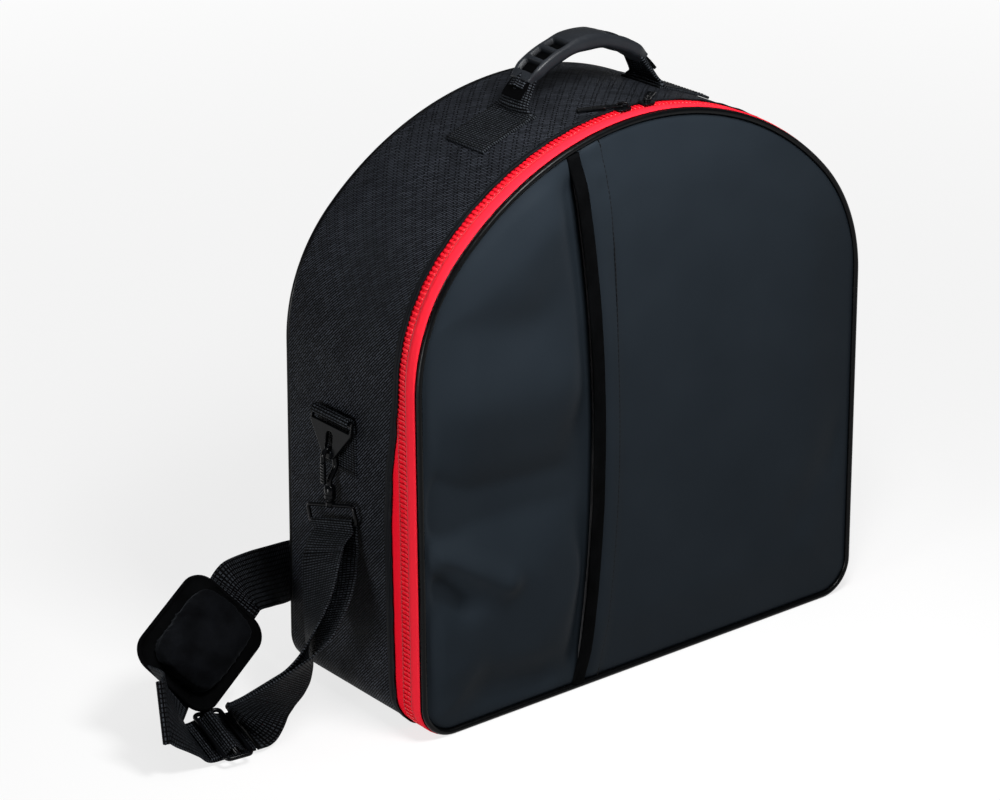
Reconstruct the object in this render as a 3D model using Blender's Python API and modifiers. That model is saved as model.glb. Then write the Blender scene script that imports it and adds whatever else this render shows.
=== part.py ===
"""An arched bag for a drum throne: padded body, zipped front lid, carry handle and clip-on shoulder strap.

Metres, +Z up, the front lid faces -Y. The bag stands on Z = 0, with its width centred on X = 0.
"""

import math

import bmesh
import bpy
from mathutils import Matrix, Vector

# Driving dimensions of the body
BAG_WIDTH = 0.450
BAG_HEIGHT = 0.463
FRONT_REACH = 0.090
BACK_REACH = 0.088
BACK_LEAN = 0.013
ARCH_RISE = 0.179
SHOULDER_RADIUS = 0.145
CORNER_RADIUS = 0.030
FIT = 0.0003
MERGE = 0.00001

# Layers of the walls, from outside in
SKIN = 0.0012
FOAM = 0.0060
LINING = 0.0010
BOARD = 0.0030
PIPING = 0.0023

# The lid and what is sewn on it
LID_SKIN = 0.0022
LID_FOAM = 0.0080
LID_INSET = 0.0050
BINDING_WIDTH = 0.0115
BINDING_BOW = 0.0230
BINDING_TOP_X = -0.080
BINDING_FOOT_X = -0.072

# The zip round the lid
TAPE = 0.0008
TAPE_WIDTH = 0.0145
TAPE_DEPTH = 0.0008
COIL_WIDTH = 0.0028
COIL_HEIGHT = 0.0026
COIL_PROUD = 0.0006
COIL_GAP = 0.0016
SEAM_TAPE_WIDTH = 0.0140
SEAM_TAPE_PROUD = 0.0006

# Zip sliders and pulls
SLIDER_LENGTH = 0.0120
SLIDER_WIDTH = 0.0110
SLIDER_PLATE = 0.0013
SLIDER_LIFT = 0.0008
SLIDER_POST = 0.0010
SLIDER_SPACING = 0.0240
BRIDGE_HEIGHT = 0.0040
BRIDGE_WIRE = 0.0008
PULL_LENGTH = 0.0350
PULL_WIDTH = 0.0070
PULL_PLATE = 0.0018
PULL_BAR_SHARE = 0.66
PULL_TURN = math.radians(43.0)
PULL_WIRE = 0.0008
PULL_CLEARANCE = 0.00096

# The carry handle
HANDLE_Y = -0.006
HANDLE_RISE = 0.047
GRIP_SPAN = 0.132
GRIP_SAGITTA = 0.030
GRIP_THICKNESS = 0.015
GRIP_WIDTH = 0.028
GRIP_ROUNDING = 0.0050
CORE_THICKNESS = 0.0024
CORE_WIDTH = 0.021
CORE_REACH = 0.004
TAB_WIDTH = 0.048
TAB_THICKNESS = 0.0026
TAB_INNER_X = 0.065
TAB_OUTER_X = 0.112
RISER_THICKNESS = 0.0028

# Clip hardware on each side, measured outward from the bag's side
WEBBING_WIDTH = 0.048
WEBBING = 0.0016
CHAPE_Y = 0.0095
CHAPE_FOOT_Z = 0.198
CHAPE_WRAP_START = math.radians(190.0)
CHAPE_WRAP_END = math.radians(-20.0)
RING_BAR_Z = 0.243
RING_BAR_OUT = 0.0065
RING_PLATE = 0.0030
RING_BAR = 0.0040
RING_HALF_WIDTH = 0.0262
RING_SHOULDER = 0.0090
RING_APEX_HALF = 0.0075
RING_LENGTH = 0.0340
RING_EYE_HALF = 0.0045
RING_EYE_TOP = 0.0120
RING_APEX_BAR = 0.0045
RING_SLOT = 0.0052
RING_TILT = math.radians(8.0)
HOOK_WIRE = 0.0022
HOOK_BEND = 0.0056
HOOK_LEG = 0.0150
HOOK_TIP = 0.0040
HOOK_BASE = 0.0045
HOOK_BASE_LENGTH = 0.0115
HOOK_NECK = 0.0090
GATE_WIDTH = 0.0050
GATE_PLATE = 0.0024
SWIVEL_BOSS = 0.0036
SWIVEL_BOSS_LENGTH = 0.0055
LOOP_WIRE = 0.0016
LOOP_INSIDE = 0.0505
LOOP_DROP = 0.0150
LOOP_TURN = math.radians(-7.0)
LOOP_TILT = math.radians(14.0)

# The shoulder strap, its adjuster and its pad
STRAP_REACH = 0.150
LAYER_GAP = 0.0022
LAYER_GAP_FLOOR = 0.00095
STRAP_STEPS = 6
ADJUSTER_WIRE = 0.0018
ADJUSTER_LENGTH = 0.062
ADJUSTER_SPAN = 0.026
ADJUSTER_LIFT = 0.0068
WRAP_REACH = 0.0190
WRAP_SHIFT = 0.0040
PAD_LENGTH = 0.089
PAD_WIDTH = 0.076
PAD_CORNER = 0.019
PAD_BASE = 0.0034
PAD_CROWN = 0.0100
PAD_RIM = 0.0080
CUSHION_SWELL_SHARE = 1.05
CUSHION_DRAW_SHARE = 0.16
CUSHION_BULGE_SHARE = 1.15
SLEEVE_WIDTH = 0.060
SLEEVE_THICKNESS = 0.0060
SLEEVE_CLEARANCE = 0.0006

# Outline worked out from the driving dimensions
HALF_WIDTH = BAG_WIDTH / 2
SPRING_Z = BAG_HEIGHT - ARCH_RISE
SHOULDER_X = HALF_WIDTH - SHOULDER_RADIUS
TOP_RADIUS = HALF_WIDTH**2 + ARCH_RISE**2 - BAG_WIDTH * SHOULDER_RADIUS
TOP_RADIUS /= 2 * (ARCH_RISE - SHOULDER_RADIUS)
TOP_CENTRE_Z = BAG_HEIGHT - TOP_RADIUS
TOP_HALF_ANGLE = math.atan2(SHOULDER_X, SPRING_Z - TOP_CENTRE_Z)

# Depths of the layers, worked out from front to back
LID_FOAM_Y = -FRONT_REACH + LID_SKIN + FIT
LID_LINING_Y = LID_FOAM_Y + LID_FOAM + FIT
LID_TAPE_Y = -FRONT_REACH + PIPING + FIT
LID_TAPE_END_Y = LID_TAPE_Y + TAPE_WIDTH - COIL_WIDTH
LID_COIL_Y = LID_TAPE_END_Y + FIT
ZIP_Y = LID_COIL_Y + COIL_WIDTH + COIL_GAP / 2
BODY_COIL_Y = ZIP_Y + COIL_GAP / 2
BODY_TAPE_Y = BODY_COIL_Y + COIL_WIDTH + FIT
SEAM_TAPE_Y = BODY_TAPE_Y + TAPE_WIDTH + FIT
GUSSET_Y = SEAM_TAPE_Y + SEAM_TAPE_WIDTH + FIT
BACK_SKIN_Y = BACK_REACH - PIPING - SKIN / 2
BACK_FOAM_Y = BACK_SKIN_Y - FIT - FOAM
BACK_LINING_Y = BACK_FOAM_Y - FIT - LINING
GUSSET_END_Y = BACK_REACH - 2 * PIPING - FIT
INNER_END_Y = BACK_LINING_Y - FIT
FOAM_INSET = SKIN + FIT
LINING_INSET = FOAM_INSET + FOAM + FIT
LINING_FACE = LINING_INSET + LINING


def clear_scene():
    for obj in list(bpy.data.objects):
        bpy.data.objects.remove(obj)


clear_scene()
PARTS = bpy.data.collections.new("throne_bag")
CUTTERS = bpy.data.collections.new("cutters")
bpy.context.scene.collection.children.link(PARTS)
bpy.context.scene.collection.children.link(CUTTERS)


def make_material(name, colour, roughness, metallic=0.0):
    made = bpy.data.materials.new(name)
    made.use_nodes = True
    shader = made.node_tree.nodes["Principled BSDF"]
    shader.inputs["Base Color"].default_value = (*colour, 1.0)
    shader.inputs["Roughness"].default_value = roughness
    shader.inputs["Metallic"].default_value = metallic
    return made


NYLON = make_material("nylon", (0.012, 0.013, 0.015), 0.70)
LEATHERETTE = make_material("leatherette", (0.024, 0.029, 0.036), 0.45)
PIPING_BLACK = make_material("piping", (0.008, 0.008, 0.009), 0.40)
ZIP_RED = make_material("zip_red", (0.70, 0.016, 0.030), 0.60)
LINING_GREY = make_material("lining", (0.030, 0.030, 0.032), 0.80)
FOAM_GREY = make_material("foam", (0.18, 0.18, 0.19), 0.90)
STIFFENER = make_material("stiffener", (0.05, 0.05, 0.05), 0.60)
WEBBING_BLACK = make_material("webbing", (0.010, 0.010, 0.011), 0.75)
RUBBER = make_material("grip_rubber", (0.020, 0.021, 0.024), 0.40)
BLACK_METAL = make_material("black_metal", (0.020, 0.020, 0.022), 0.35, 0.6)
VELOUR = make_material("velour", (0.010, 0.011, 0.013), 0.95)


def add_part(name, data, material, pivot=None):
    """Links one named piece, and hangs it on its joint's empty where it has one."""
    obj = bpy.data.objects.new(name, data)
    PARTS.objects.link(obj)
    data.materials.clear()
    data.materials.append(material)
    if pivot is not None:
        obj.parent = pivot
        obj.matrix_parent_inverse = pivot.matrix_world.inverted()
    return obj


def add_pivot(name, place):
    """An empty on a joint's axis."""
    empty = bpy.data.objects.new(name, None)
    empty.location = place
    PARTS.objects.link(empty)
    bpy.context.view_layer.update()
    return empty


def evaluated_mesh(data, name):
    """The closed mesh of a curve, with its loose caps welded."""
    holder = bpy.data.objects.new(name, data)
    CUTTERS.objects.link(holder)
    graph = bpy.context.evaluated_depsgraph_get()
    mesh = bpy.data.meshes.new_from_object(holder.evaluated_get(graph))
    bpy.data.objects.remove(holder)
    shape = bmesh.new()
    shape.from_mesh(mesh)
    bmesh.ops.remove_doubles(shape, verts=shape.verts, dist=MERGE)
    bmesh.ops.recalc_face_normals(shape, faces=shape.faces)
    shape.to_mesh(mesh)
    shape.free()
    return mesh


def flat_mesh(name, loops, thickness):
    """A flat outline, with holes where there are more loops, centred on local Z."""
    curve = bpy.data.curves.new(name, "CURVE")
    curve.dimensions = "2D"
    curve.fill_mode = "BOTH"
    curve.extrude = thickness / 2
    for loop in loops:
        spline = curve.splines.new("POLY")
        spline.points.add(len(loop) - 1)
        for point, (across, up) in zip(spline.points, loop):
            point.co = (across, up, 0.0, 1.0)
        spline.use_cyclic_u = True
    return evaluated_mesh(curve, name)


def leaning(y, z):
    """The back of the bag leans forward as it rises."""
    return y - BACK_LEAN * z / BAG_HEIGHT


def plate(name, loops, front, back, material, pivot=None, lean_front=False, lean_back=False):
    """An X-Z outline from one depth to another, either face of which may follow the leaning back."""
    mesh = flat_mesh(name, loops, back - front)
    upright = Matrix.Rotation(math.pi / 2, 4, "X")
    mesh.transform(Matrix.Translation((0.0, (front + back) / 2, 0.0)) @ upright)
    middle = (front + back) / 2
    for vertex in mesh.vertices:
        if vertex.co.y < middle and lean_front or vertex.co.y >= middle and lean_back:
            vertex.co.y = leaning(vertex.co.y, vertex.co.z)
    return add_part(name, mesh, material, pivot)


def tube_data(name, points, radius, closed=False):
    curve = bpy.data.curves.new(name, "CURVE")
    curve.dimensions = "3D"
    curve.bevel_depth = radius
    curve.bevel_resolution = 2
    curve.use_fill_caps = True
    spline = curve.splines.new("POLY")
    spline.points.add(len(points) - 1)
    for point, place in zip(spline.points, points):
        point.co = (*place, 1.0)
    spline.use_cyclic_u = closed
    return curve


def tube(name, points, radius, material, pivot=None, closed=False):
    return add_part(name, tube_data(name, points, radius, closed), material, pivot)


def unite(body, others):
    """Joins other closed pieces to a body, so that they are one solid."""
    for count, other in enumerate(others):
        PARTS.objects.unlink(other)
        CUTTERS.objects.link(other)
        other.hide_render = True
        other.display_type = "WIRE"
        join = body.modifiers.new("join_" + str(count), "BOOLEAN")
        join.operation = "UNION"
        join.object = other


def cut(body, cutter):
    PARTS.objects.unlink(cutter)
    CUTTERS.objects.link(cutter)
    cutter.hide_render = True
    cutter.display_type = "WIRE"
    taken = body.modifiers.new("cut", "BOOLEAN")
    taken.operation = "DIFFERENCE"
    taken.object = cutter


def ribbon(name, stations, thickness, material, pivot=None):
    """A strip of webbing: stations are a centre and a half-width vector."""
    shape = bmesh.new()
    rows = []
    for centre, across in stations:
        rows.append((shape.verts.new(centre - across), shape.verts.new(centre + across)))
    for low, high in zip(rows, rows[1:]):
        shape.faces.new((low[0], low[1], high[1], high[0]))
    mesh = bpy.data.meshes.new(name)
    shape.to_mesh(mesh)
    shape.free()
    strip = add_part(name, mesh, material, pivot)
    wall = strip.modifiers.new("webbing", "SOLIDIFY")
    wall.thickness = thickness
    wall.offset = 0.0
    return strip


def cylinder(name, radius, low, high, material, pivot=None, sides=20):
    """A round bar from one point to another."""
    axis = high - low
    shape = bmesh.new()
    size = {"radius1": radius, "radius2": radius, "depth": axis.length}
    bmesh.ops.create_cone(shape, cap_ends=True, segments=sides, **size)
    turn = axis.to_track_quat("Z", "Y").to_matrix().to_4x4()
    shape.transform(Matrix.Translation((low + high) / 2) @ turn)
    mesh = bpy.data.meshes.new(name)
    shape.to_mesh(mesh)
    shape.free()
    return add_part(name, mesh, material, pivot)


def arc(centre_x, centre_z, radius, start, stop, steps):
    """Points on an arc, angles taken from +X towards +Z."""
    angles = [start + (stop - start) * step / steps for step in range(steps + 1)]
    return [(centre_x + radius * math.cos(a), centre_z + radius * math.sin(a)) for a in angles]


def arch(inset):
    """The bag's outline, from lower right over the top to lower left, and never below the floor."""
    quarter = math.pi / 2
    first = quarter - TOP_HALF_ANGLE
    corner_x = HALF_WIDTH - CORNER_RADIUS
    right = arc(corner_x, CORNER_RADIUS, CORNER_RADIUS - inset, -quarter, 0.0, 4)
    right += arc(SHOULDER_X, SPRING_Z, SHOULDER_RADIUS - inset, 0.0, first, 6)
    top = arc(0.0, TOP_CENTRE_Z, TOP_RADIUS - inset, first, math.pi - first, 16)
    left = [(-x, z) for x, z in reversed(right)]
    return [(x, max(z, 0.0)) for x, z in right + top[1:-1] + left]


def arch_band(outer, inner):
    return arch(outer) + list(reversed(arch(inner)))


def arch_top(x, inset):
    """Height of the top arc above a place near the middle of the width."""
    return TOP_CENTRE_Z + math.sqrt((TOP_RADIUS - inset) ** 2 - x**2)


def rounded_box(half_x, half_z, radius, centre_x=0.0, centre_z=0.0, steps=4):
    quarter = math.pi / 2
    loop = []
    for count, (side, up) in enumerate(((1, 1), (-1, 1), (-1, -1), (1, -1))):
        corner = (centre_x + side * (half_x - radius), centre_z + up * (half_z - radius))
        loop += arc(*corner, radius, count * quarter, (count + 1) * quarter, steps)
    return loop


def smooth(rows, steps):
    """A smooth curve through rows of numbers, which may hold places and directions side by side."""
    padded = [rows[0], *rows, rows[-1]]
    made = []
    for before, start, end, after in zip(padded, padded[1:], padded[2:], padded[3:]):
        for step in range(steps):
            t = step / steps
            row = []
            for a, b, c, d in zip(before, start, end, after):
                bend = (2 * a - 5 * b + 4 * c - d) * t * t + (3 * b - a - 3 * c + d) * t**3
                row.append(b + ((c - a) * t + bend) / 2)
            made.append(row)
    made.append(list(rows[-1]))
    return made


def build_walls():
    """Gusset, base and back, each of skin, padding and lining."""
    for name, outer, thickness, end, material in (
        ("gusset_shell", 0.0, SKIN, GUSSET_END_Y, NYLON),
        ("gusset_foam", FOAM_INSET, FOAM, INNER_END_Y, FOAM_GREY),
        ("gusset_lining", LINING_INSET, LINING, INNER_END_Y, LINING_GREY),
    ):
        plate(name, [arch_band(outer, outer + thickness)], GUSSET_Y, end, material, lean_back=True)
    base_half = HALF_WIDTH - CORNER_RADIUS - FIT
    base_front = -FRONT_REACH + 2 * PIPING
    for name, low, thickness, start, end, material in (
        ("base_panel", 0.0, SKIN, base_front, GUSSET_END_Y, NYLON),
        ("base_board", FOAM_INSET, BOARD, GUSSET_Y, INNER_END_Y, STIFFENER),
        ("base_lining", FOAM_INSET + BOARD + FIT, LINING, GUSSET_Y, INNER_END_Y, LINING_GREY),
    ):
        high = low + thickness
        loop = [(-base_half, low), (base_half, low), (base_half, high), (-base_half, high)]
        plate(name, [loop], start, end, material)
    inset = 2 * PIPING + FIT
    plate("back_panel", [arch(inset)], BACK_SKIN_Y, BACK_SKIN_Y + SKIN, NYLON, None, True, True)
    plate("back_foam", [arch(inset)], BACK_FOAM_Y, BACK_FOAM_Y + FOAM, FOAM_GREY, None, True, True)
    plate("back_lining", [arch(inset)], BACK_LINING_Y, BACK_LINING_Y + LINING, LINING_GREY, None, True, True)
    ring = [(x, leaning(BACK_REACH - PIPING, z), z) for x, z in arch(PIPING)]
    tube("back_piping", ring, PIPING, PIPING_BLACK, closed=True)


def binding_x(z):
    """The pocket's bound edge bows towards the middle of the lid between its ends."""
    share = z / BAG_HEIGHT
    return BINDING_FOOT_X + (BINDING_TOP_X - BINDING_FOOT_X) * share + 4 * BINDING_BOW * share * (1 - share)


def bound_edge(shift, inset, steps=10):
    """Points up the pocket's edge, moved sideways, from the foot of the lid to its arch."""
    top = BAG_HEIGHT - inset
    for _ in range(4):
        top = arch_top(binding_x(top) + shift, inset)
    heights = [inset + (top - inset) * step / steps for step in range(steps + 1)]
    return [(binding_x(z) + shift, z) for z in heights]


def build_lid():
    """The zipped front: two skins with the bound pocket edge between them, padding and lining."""
    hinge = add_pivot("lid_pivot", (0.0, -FRONT_REACH - PIPING, FIT))
    outline = arch(LID_INSET)
    left_edge = bound_edge(-BINDING_WIDTH / 2 - FIT, LID_INSET)
    right_edge = bound_edge(BINDING_WIDTH / 2 + FIT, LID_INSET)
    right = [point for point in outline if point[0] > right_edge[-1][0]]
    left = [point for point in outline if point[0] < left_edge[-1][0]]
    band = bound_edge(BINDING_WIDTH / 2, LID_INSET)
    band += list(reversed(bound_edge(-BINDING_WIDTH / 2, LID_INSET)))
    skin_end = -FRONT_REACH + LID_SKIN
    plate("lid_skin", [right + list(reversed(right_edge))], -FRONT_REACH, skin_end, LEATHERETTE, hinge)
    plate("pocket_front", [left_edge + left], -FRONT_REACH, skin_end, LEATHERETTE, hinge)
    plate("pocket_binding", [band], -FRONT_REACH, skin_end, NYLON, hinge)
    plate("lid_foam", [outline], LID_FOAM_Y, LID_FOAM_Y + LID_FOAM, FOAM_GREY, hinge)
    plate("lid_lining", [outline], LID_LINING_Y, LID_LINING_Y + LINING, LINING_GREY, hinge)
    ring = [(x, -FRONT_REACH, z) for x, z in arch(PIPING)]
    tube("lid_piping", ring, PIPING, PIPING_BLACK, hinge, closed=True)
    tape = arch_band(TAPE_DEPTH, TAPE_DEPTH + TAPE)
    coil = arch_band(-COIL_PROUD, COIL_HEIGHT - COIL_PROUD)
    plate("zip_tape_lid", [tape], LID_TAPE_Y, LID_TAPE_END_Y, ZIP_RED, hinge)
    plate("zip_coil_lid", [coil], LID_COIL_Y, LID_COIL_Y + COIL_WIDTH, ZIP_RED, hinge)
    plate("zip_coil_body", [coil], BODY_COIL_Y, BODY_COIL_Y + COIL_WIDTH, ZIP_RED)
    plate("zip_tape_body", [tape], BODY_TAPE_Y, BODY_TAPE_Y + TAPE_WIDTH, ZIP_RED)
    seam = arch_band(-SEAM_TAPE_PROUD, SKIN)
    plate("zip_seam_tape", [seam], SEAM_TAPE_Y, SEAM_TAPE_Y + SEAM_TAPE_WIDTH, NYLON)


def arc_sector(outer, inner, start_x, end_x, steps=3):
    """A piece of the top arc between two radii."""
    angles = [math.acos(x / TOP_RADIUS) for x in (start_x, end_x)]
    over = arc(0.0, TOP_CENTRE_Z, outer, angles[0], angles[1], steps)
    return over + arc(0.0, TOP_CENTRE_Z, inner, angles[1], angles[0], steps)


def build_slider(side):
    """A zip slider on the top arc and its pull, which lies back on the gusset."""
    word = "right" if side > 0 else "left"
    angle = side * SLIDER_SPACING / 2 / TOP_RADIUS
    radial = Vector((math.sin(angle), 0.0, math.cos(angle)))
    along = Vector((math.cos(angle), 0.0, -math.sin(angle)))
    centre = Vector((0.0, ZIP_Y, TOP_CENTRE_Z))
    pivot = add_pivot("slider_pivot_" + word, centre)
    frame = Matrix((along, Vector((0.0, 1.0, 0.0)), radial)).transposed().to_4x4()

    def blocks(name, low, high, half_x, half_y):
        shape = bmesh.new()
        bmesh.ops.create_cube(shape, size=1.0)
        bmesh.ops.scale(shape, verts=shape.verts, vec=(2 * half_x, 2 * half_y, high - low))
        seat = Matrix.Translation((0.0, 0.0, TOP_RADIUS + (low + high) / 2))
        shape.transform(Matrix.Translation(centre) @ frame @ seat)
        mesh = bpy.data.meshes.new(name)
        shape.to_mesh(mesh)
        shape.free()
        return add_part(name, mesh, BLACK_METAL, pivot)

    top = COIL_PROUD + SLIDER_LIFT
    under = COIL_PROUD - COIL_HEIGHT - SLIDER_LIFT
    body = blocks("slider_" + word, top, top + SLIDER_PLATE, SLIDER_LENGTH / 2, SLIDER_WIDTH / 2)
    floor = blocks("slider_floor_" + word, under - SLIDER_PLATE, under, SLIDER_LENGTH / 2, SLIDER_WIDTH / 2)
    reach = SLIDER_PLATE / 2
    post = blocks("slider_post_" + word, under - reach, top + reach, SLIDER_LENGTH / 4, SLIDER_POST / 2)
    roof = top + SLIDER_PLATE
    # the pull's tip lies just above the seam tape
    start = SLIDER_SPACING / 2
    fall = ((start + PULL_LENGTH * math.cos(PULL_TURN)) ** 2 - start**2) / (2 * TOP_RADIUS)
    tip_height = SEAM_TAPE_PROUD + PULL_PLATE / 2 + PULL_CLEARANCE
    sink = (fall + roof + BRIDGE_HEIGHT / 2 - tip_height) / PULL_LENGTH
    flat = Vector((side * math.cos(PULL_TURN), math.sin(PULL_TURN), -sink)).normalized()
    sideways = flat.cross(radial).normalized()
    level = radial.cross(sideways)
    bridge_path = []
    for x_share, height_share in ((-1, -0.12), (-1, 0.7), (-0.6, 1), (0.6, 1), (1, 0.7), (1, -0.12)):
        rise = radial * (TOP_RADIUS + roof + height_share * BRIDGE_HEIGHT)
        bridge_path.append(centre + rise + level * (x_share * SLIDER_LENGTH / 3))
    bridge = evaluated_mesh(tube_data("bridge", bridge_path, BRIDGE_WIRE), "bridge")
    unite(body, [floor, post, add_part("bridge_" + word, bridge, BLACK_METAL)])

    eye = centre + radial * (TOP_RADIUS + roof + BRIDGE_HEIGHT / 2)
    pull_pivot = add_pivot("pull_pivot_" + word, eye)
    pull_pivot.parent = pivot
    pull_pivot.matrix_parent_inverse = pivot.matrix_world.inverted()
    seat = Matrix((flat, sideways, flat.cross(sideways))).transposed().to_4x4()
    neck = PULL_LENGTH * (1 - PULL_BAR_SHARE)
    bar_half = PULL_LENGTH * PULL_BAR_SHARE / 2
    loop = rounded_box(bar_half, PULL_WIDTH / 2, PULL_WIDTH / 4, PULL_LENGTH - bar_half)
    mesh = flat_mesh("pull_" + word, [loop], PULL_PLATE)
    mesh.transform(Matrix.Translation(eye) @ seat)
    bar = add_part("pull_" + word, mesh, BLACK_METAL, pull_pivot)
    half = BRIDGE_WIRE + PULL_WIRE + FIT
    wire = []
    end = neck * 1.2
    for out, aside_share in ((end, 1), (half / 2, 1), (0.0, 0.5), (0.0, -0.5), (half / 2, -1), (end, -1)):
        wire.append(eye + seat.to_3x3() @ Vector((out, aside_share * half, 0.0)))
    neck_loop = evaluated_mesh(tube_data("neck", wire, PULL_WIRE), "neck")
    unite(bar, [add_part("neck_" + word, neck_loop, BLACK_METAL)])


def grip_arc(offset, reach=0.0, steps=16):
    """The handle's arc, moved out from its centre line, and run on at its ends."""
    radius = ((GRIP_SPAN / 2) ** 2 + GRIP_SAGITTA**2) / (2 * GRIP_SAGITTA)
    centre_z = BAG_HEIGHT + HANDLE_RISE - GRIP_THICKNESS / 2 - radius
    half = math.asin(GRIP_SPAN / 2 / radius) + reach / radius
    return arc(0.0, centre_z, radius + offset, math.pi / 2 + half, math.pi / 2 - half, steps)


def grip_band(half_thickness, reach):
    return grip_arc(half_thickness, reach) + list(reversed(grip_arc(-half_thickness, reach)))


def build_handle():
    """Sewn tabs, webbing risers, the webbing core and the moulded grip round it."""
    seat = TOP_RADIUS + FIT
    foot_z = math.sqrt((seat + TAB_THICKNESS) ** 2 - TAB_INNER_X**2) + TOP_CENTRE_Z
    hinge = add_pivot("handle_pivot", (0.0, HANDLE_Y, foot_z))
    low_y = HANDLE_Y - TAB_WIDTH / 2
    high_y = HANDLE_Y + TAB_WIDTH / 2
    ends = grip_arc(0.0, CORE_REACH + 3 * FIT)
    for side, word in ((-1, "left"), (1, "right")):
        loop = arc_sector(seat + TAB_THICKNESS, seat, side * TAB_INNER_X, side * TAB_OUTER_X)
        plate("handle_tab_" + word, [loop], low_y, high_y, WEBBING_BLACK)
        top = Vector((side * abs(ends[0][0]), HANDLE_Y, ends[0][1]))
        foot = Vector((side * (TAB_INNER_X + RISER_THICKNESS), HANDLE_Y, foot_z))
        middle = foot.lerp(top, 0.5) + Vector((side * RISER_THICKNESS, 0.0, 0.0))
        rows = []
        for place, share in ((foot, 0.0), (foot.lerp(middle, 0.5), 0.2), (middle, 0.6), (top, 1.0)):
            half = (TAB_WIDTH + (CORE_WIDTH - TAB_WIDTH) * share) / 2
            rows.append((place, Vector((0.0, half, 0.0))))
        ribbon("handle_riser_" + word, rows, RISER_THICKNESS, WEBBING_BLACK)
    core_y = (HANDLE_Y - CORE_WIDTH / 2, HANDLE_Y + CORE_WIDTH / 2)
    plate("handle_core", [grip_band(CORE_THICKNESS / 2, CORE_REACH)], *core_y, WEBBING_BLACK, hinge)
    outline = grip_band(GRIP_THICKNESS / 2, 0.0)
    grip_y = (HANDLE_Y - GRIP_WIDTH / 2, HANDLE_Y + GRIP_WIDTH / 2)
    grip = plate("handle_grip", [outline], *grip_y, RUBBER, hinge)
    rounding = grip.modifiers.new("rounding", "BEVEL")
    rounding.width = GRIP_ROUNDING
    rounding.segments = 3
    rounding.limit_method = "ANGLE"
    rounding.angle_limit = math.radians(60.0)
    slot = grip_band(CORE_THICKNESS / 2 + FIT, 2 * CORE_REACH)
    cut(grip, plate("grip_slot", [slot], core_y[0] - FIT, core_y[1] + FIT, RUBBER))


def loop_axes(side):
    """Axes of the strap loop below the hook: across the webbing, and down."""
    flat = Vector((side * math.sin(LOOP_TURN), -math.cos(LOOP_TURN), 0.0))
    across = flat * math.cos(LOOP_TILT) + Vector((0.0, 0.0, math.sin(LOOP_TILT)))
    down = Vector((0.0, 0.0, -1.0))
    down = (down - across * down.dot(across)).normalized()
    return across, down


def hardware_places(side):
    """Named points of one side's clip, from the ring's bar down to the strap loop."""
    bar = Vector((side * (HALF_WIDTH + RING_BAR_OUT), CHAPE_Y, RING_BAR_Z))
    hang = Vector((side * math.sin(RING_TILT), 0.0, -math.cos(RING_TILT)))
    apex = bar + hang * (RING_LENGTH - RING_APEX_BAR / 2)
    base_top = apex - Vector((0.0, 0.0, HOOK_LEG + HOOK_NECK))
    base_low = base_top - Vector((0.0, 0.0, HOOK_BASE_LENGTH))
    boss_low = base_low - Vector((0.0, 0.0, FIT + SWIVEL_BOSS_LENGTH))
    across, down = loop_axes(side)
    return bar, hang, apex, base_top, base_low, boss_low, across, down


def build_chape(side, word):
    """The webbing sewn on the bag's side, folded over the ring's bar."""
    bar = hardware_places(side)[0]
    wall = HALF_WIDTH + FIT + WEBBING / 2
    wrap = math.hypot(RING_BAR / 2, RING_PLATE / 2) + FIT + WEBBING / 2
    points = [(side * wall, CHAPE_FOOT_Z), (side * wall, RING_BAR_Z - RING_SHOULDER)]
    for across, up in arc(0.0, 0.0, wrap, CHAPE_WRAP_START, CHAPE_WRAP_END, 6):
        points.append((bar.x + side * across, bar.z + up))
    half = Vector((0.0, WEBBING_WIDTH / 2, 0.0))
    rows = [(Vector((x, CHAPE_Y, z)), half) for x, z in points]
    ribbon("side_chape_" + word, rows, WEBBING, WEBBING_BLACK)


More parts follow.
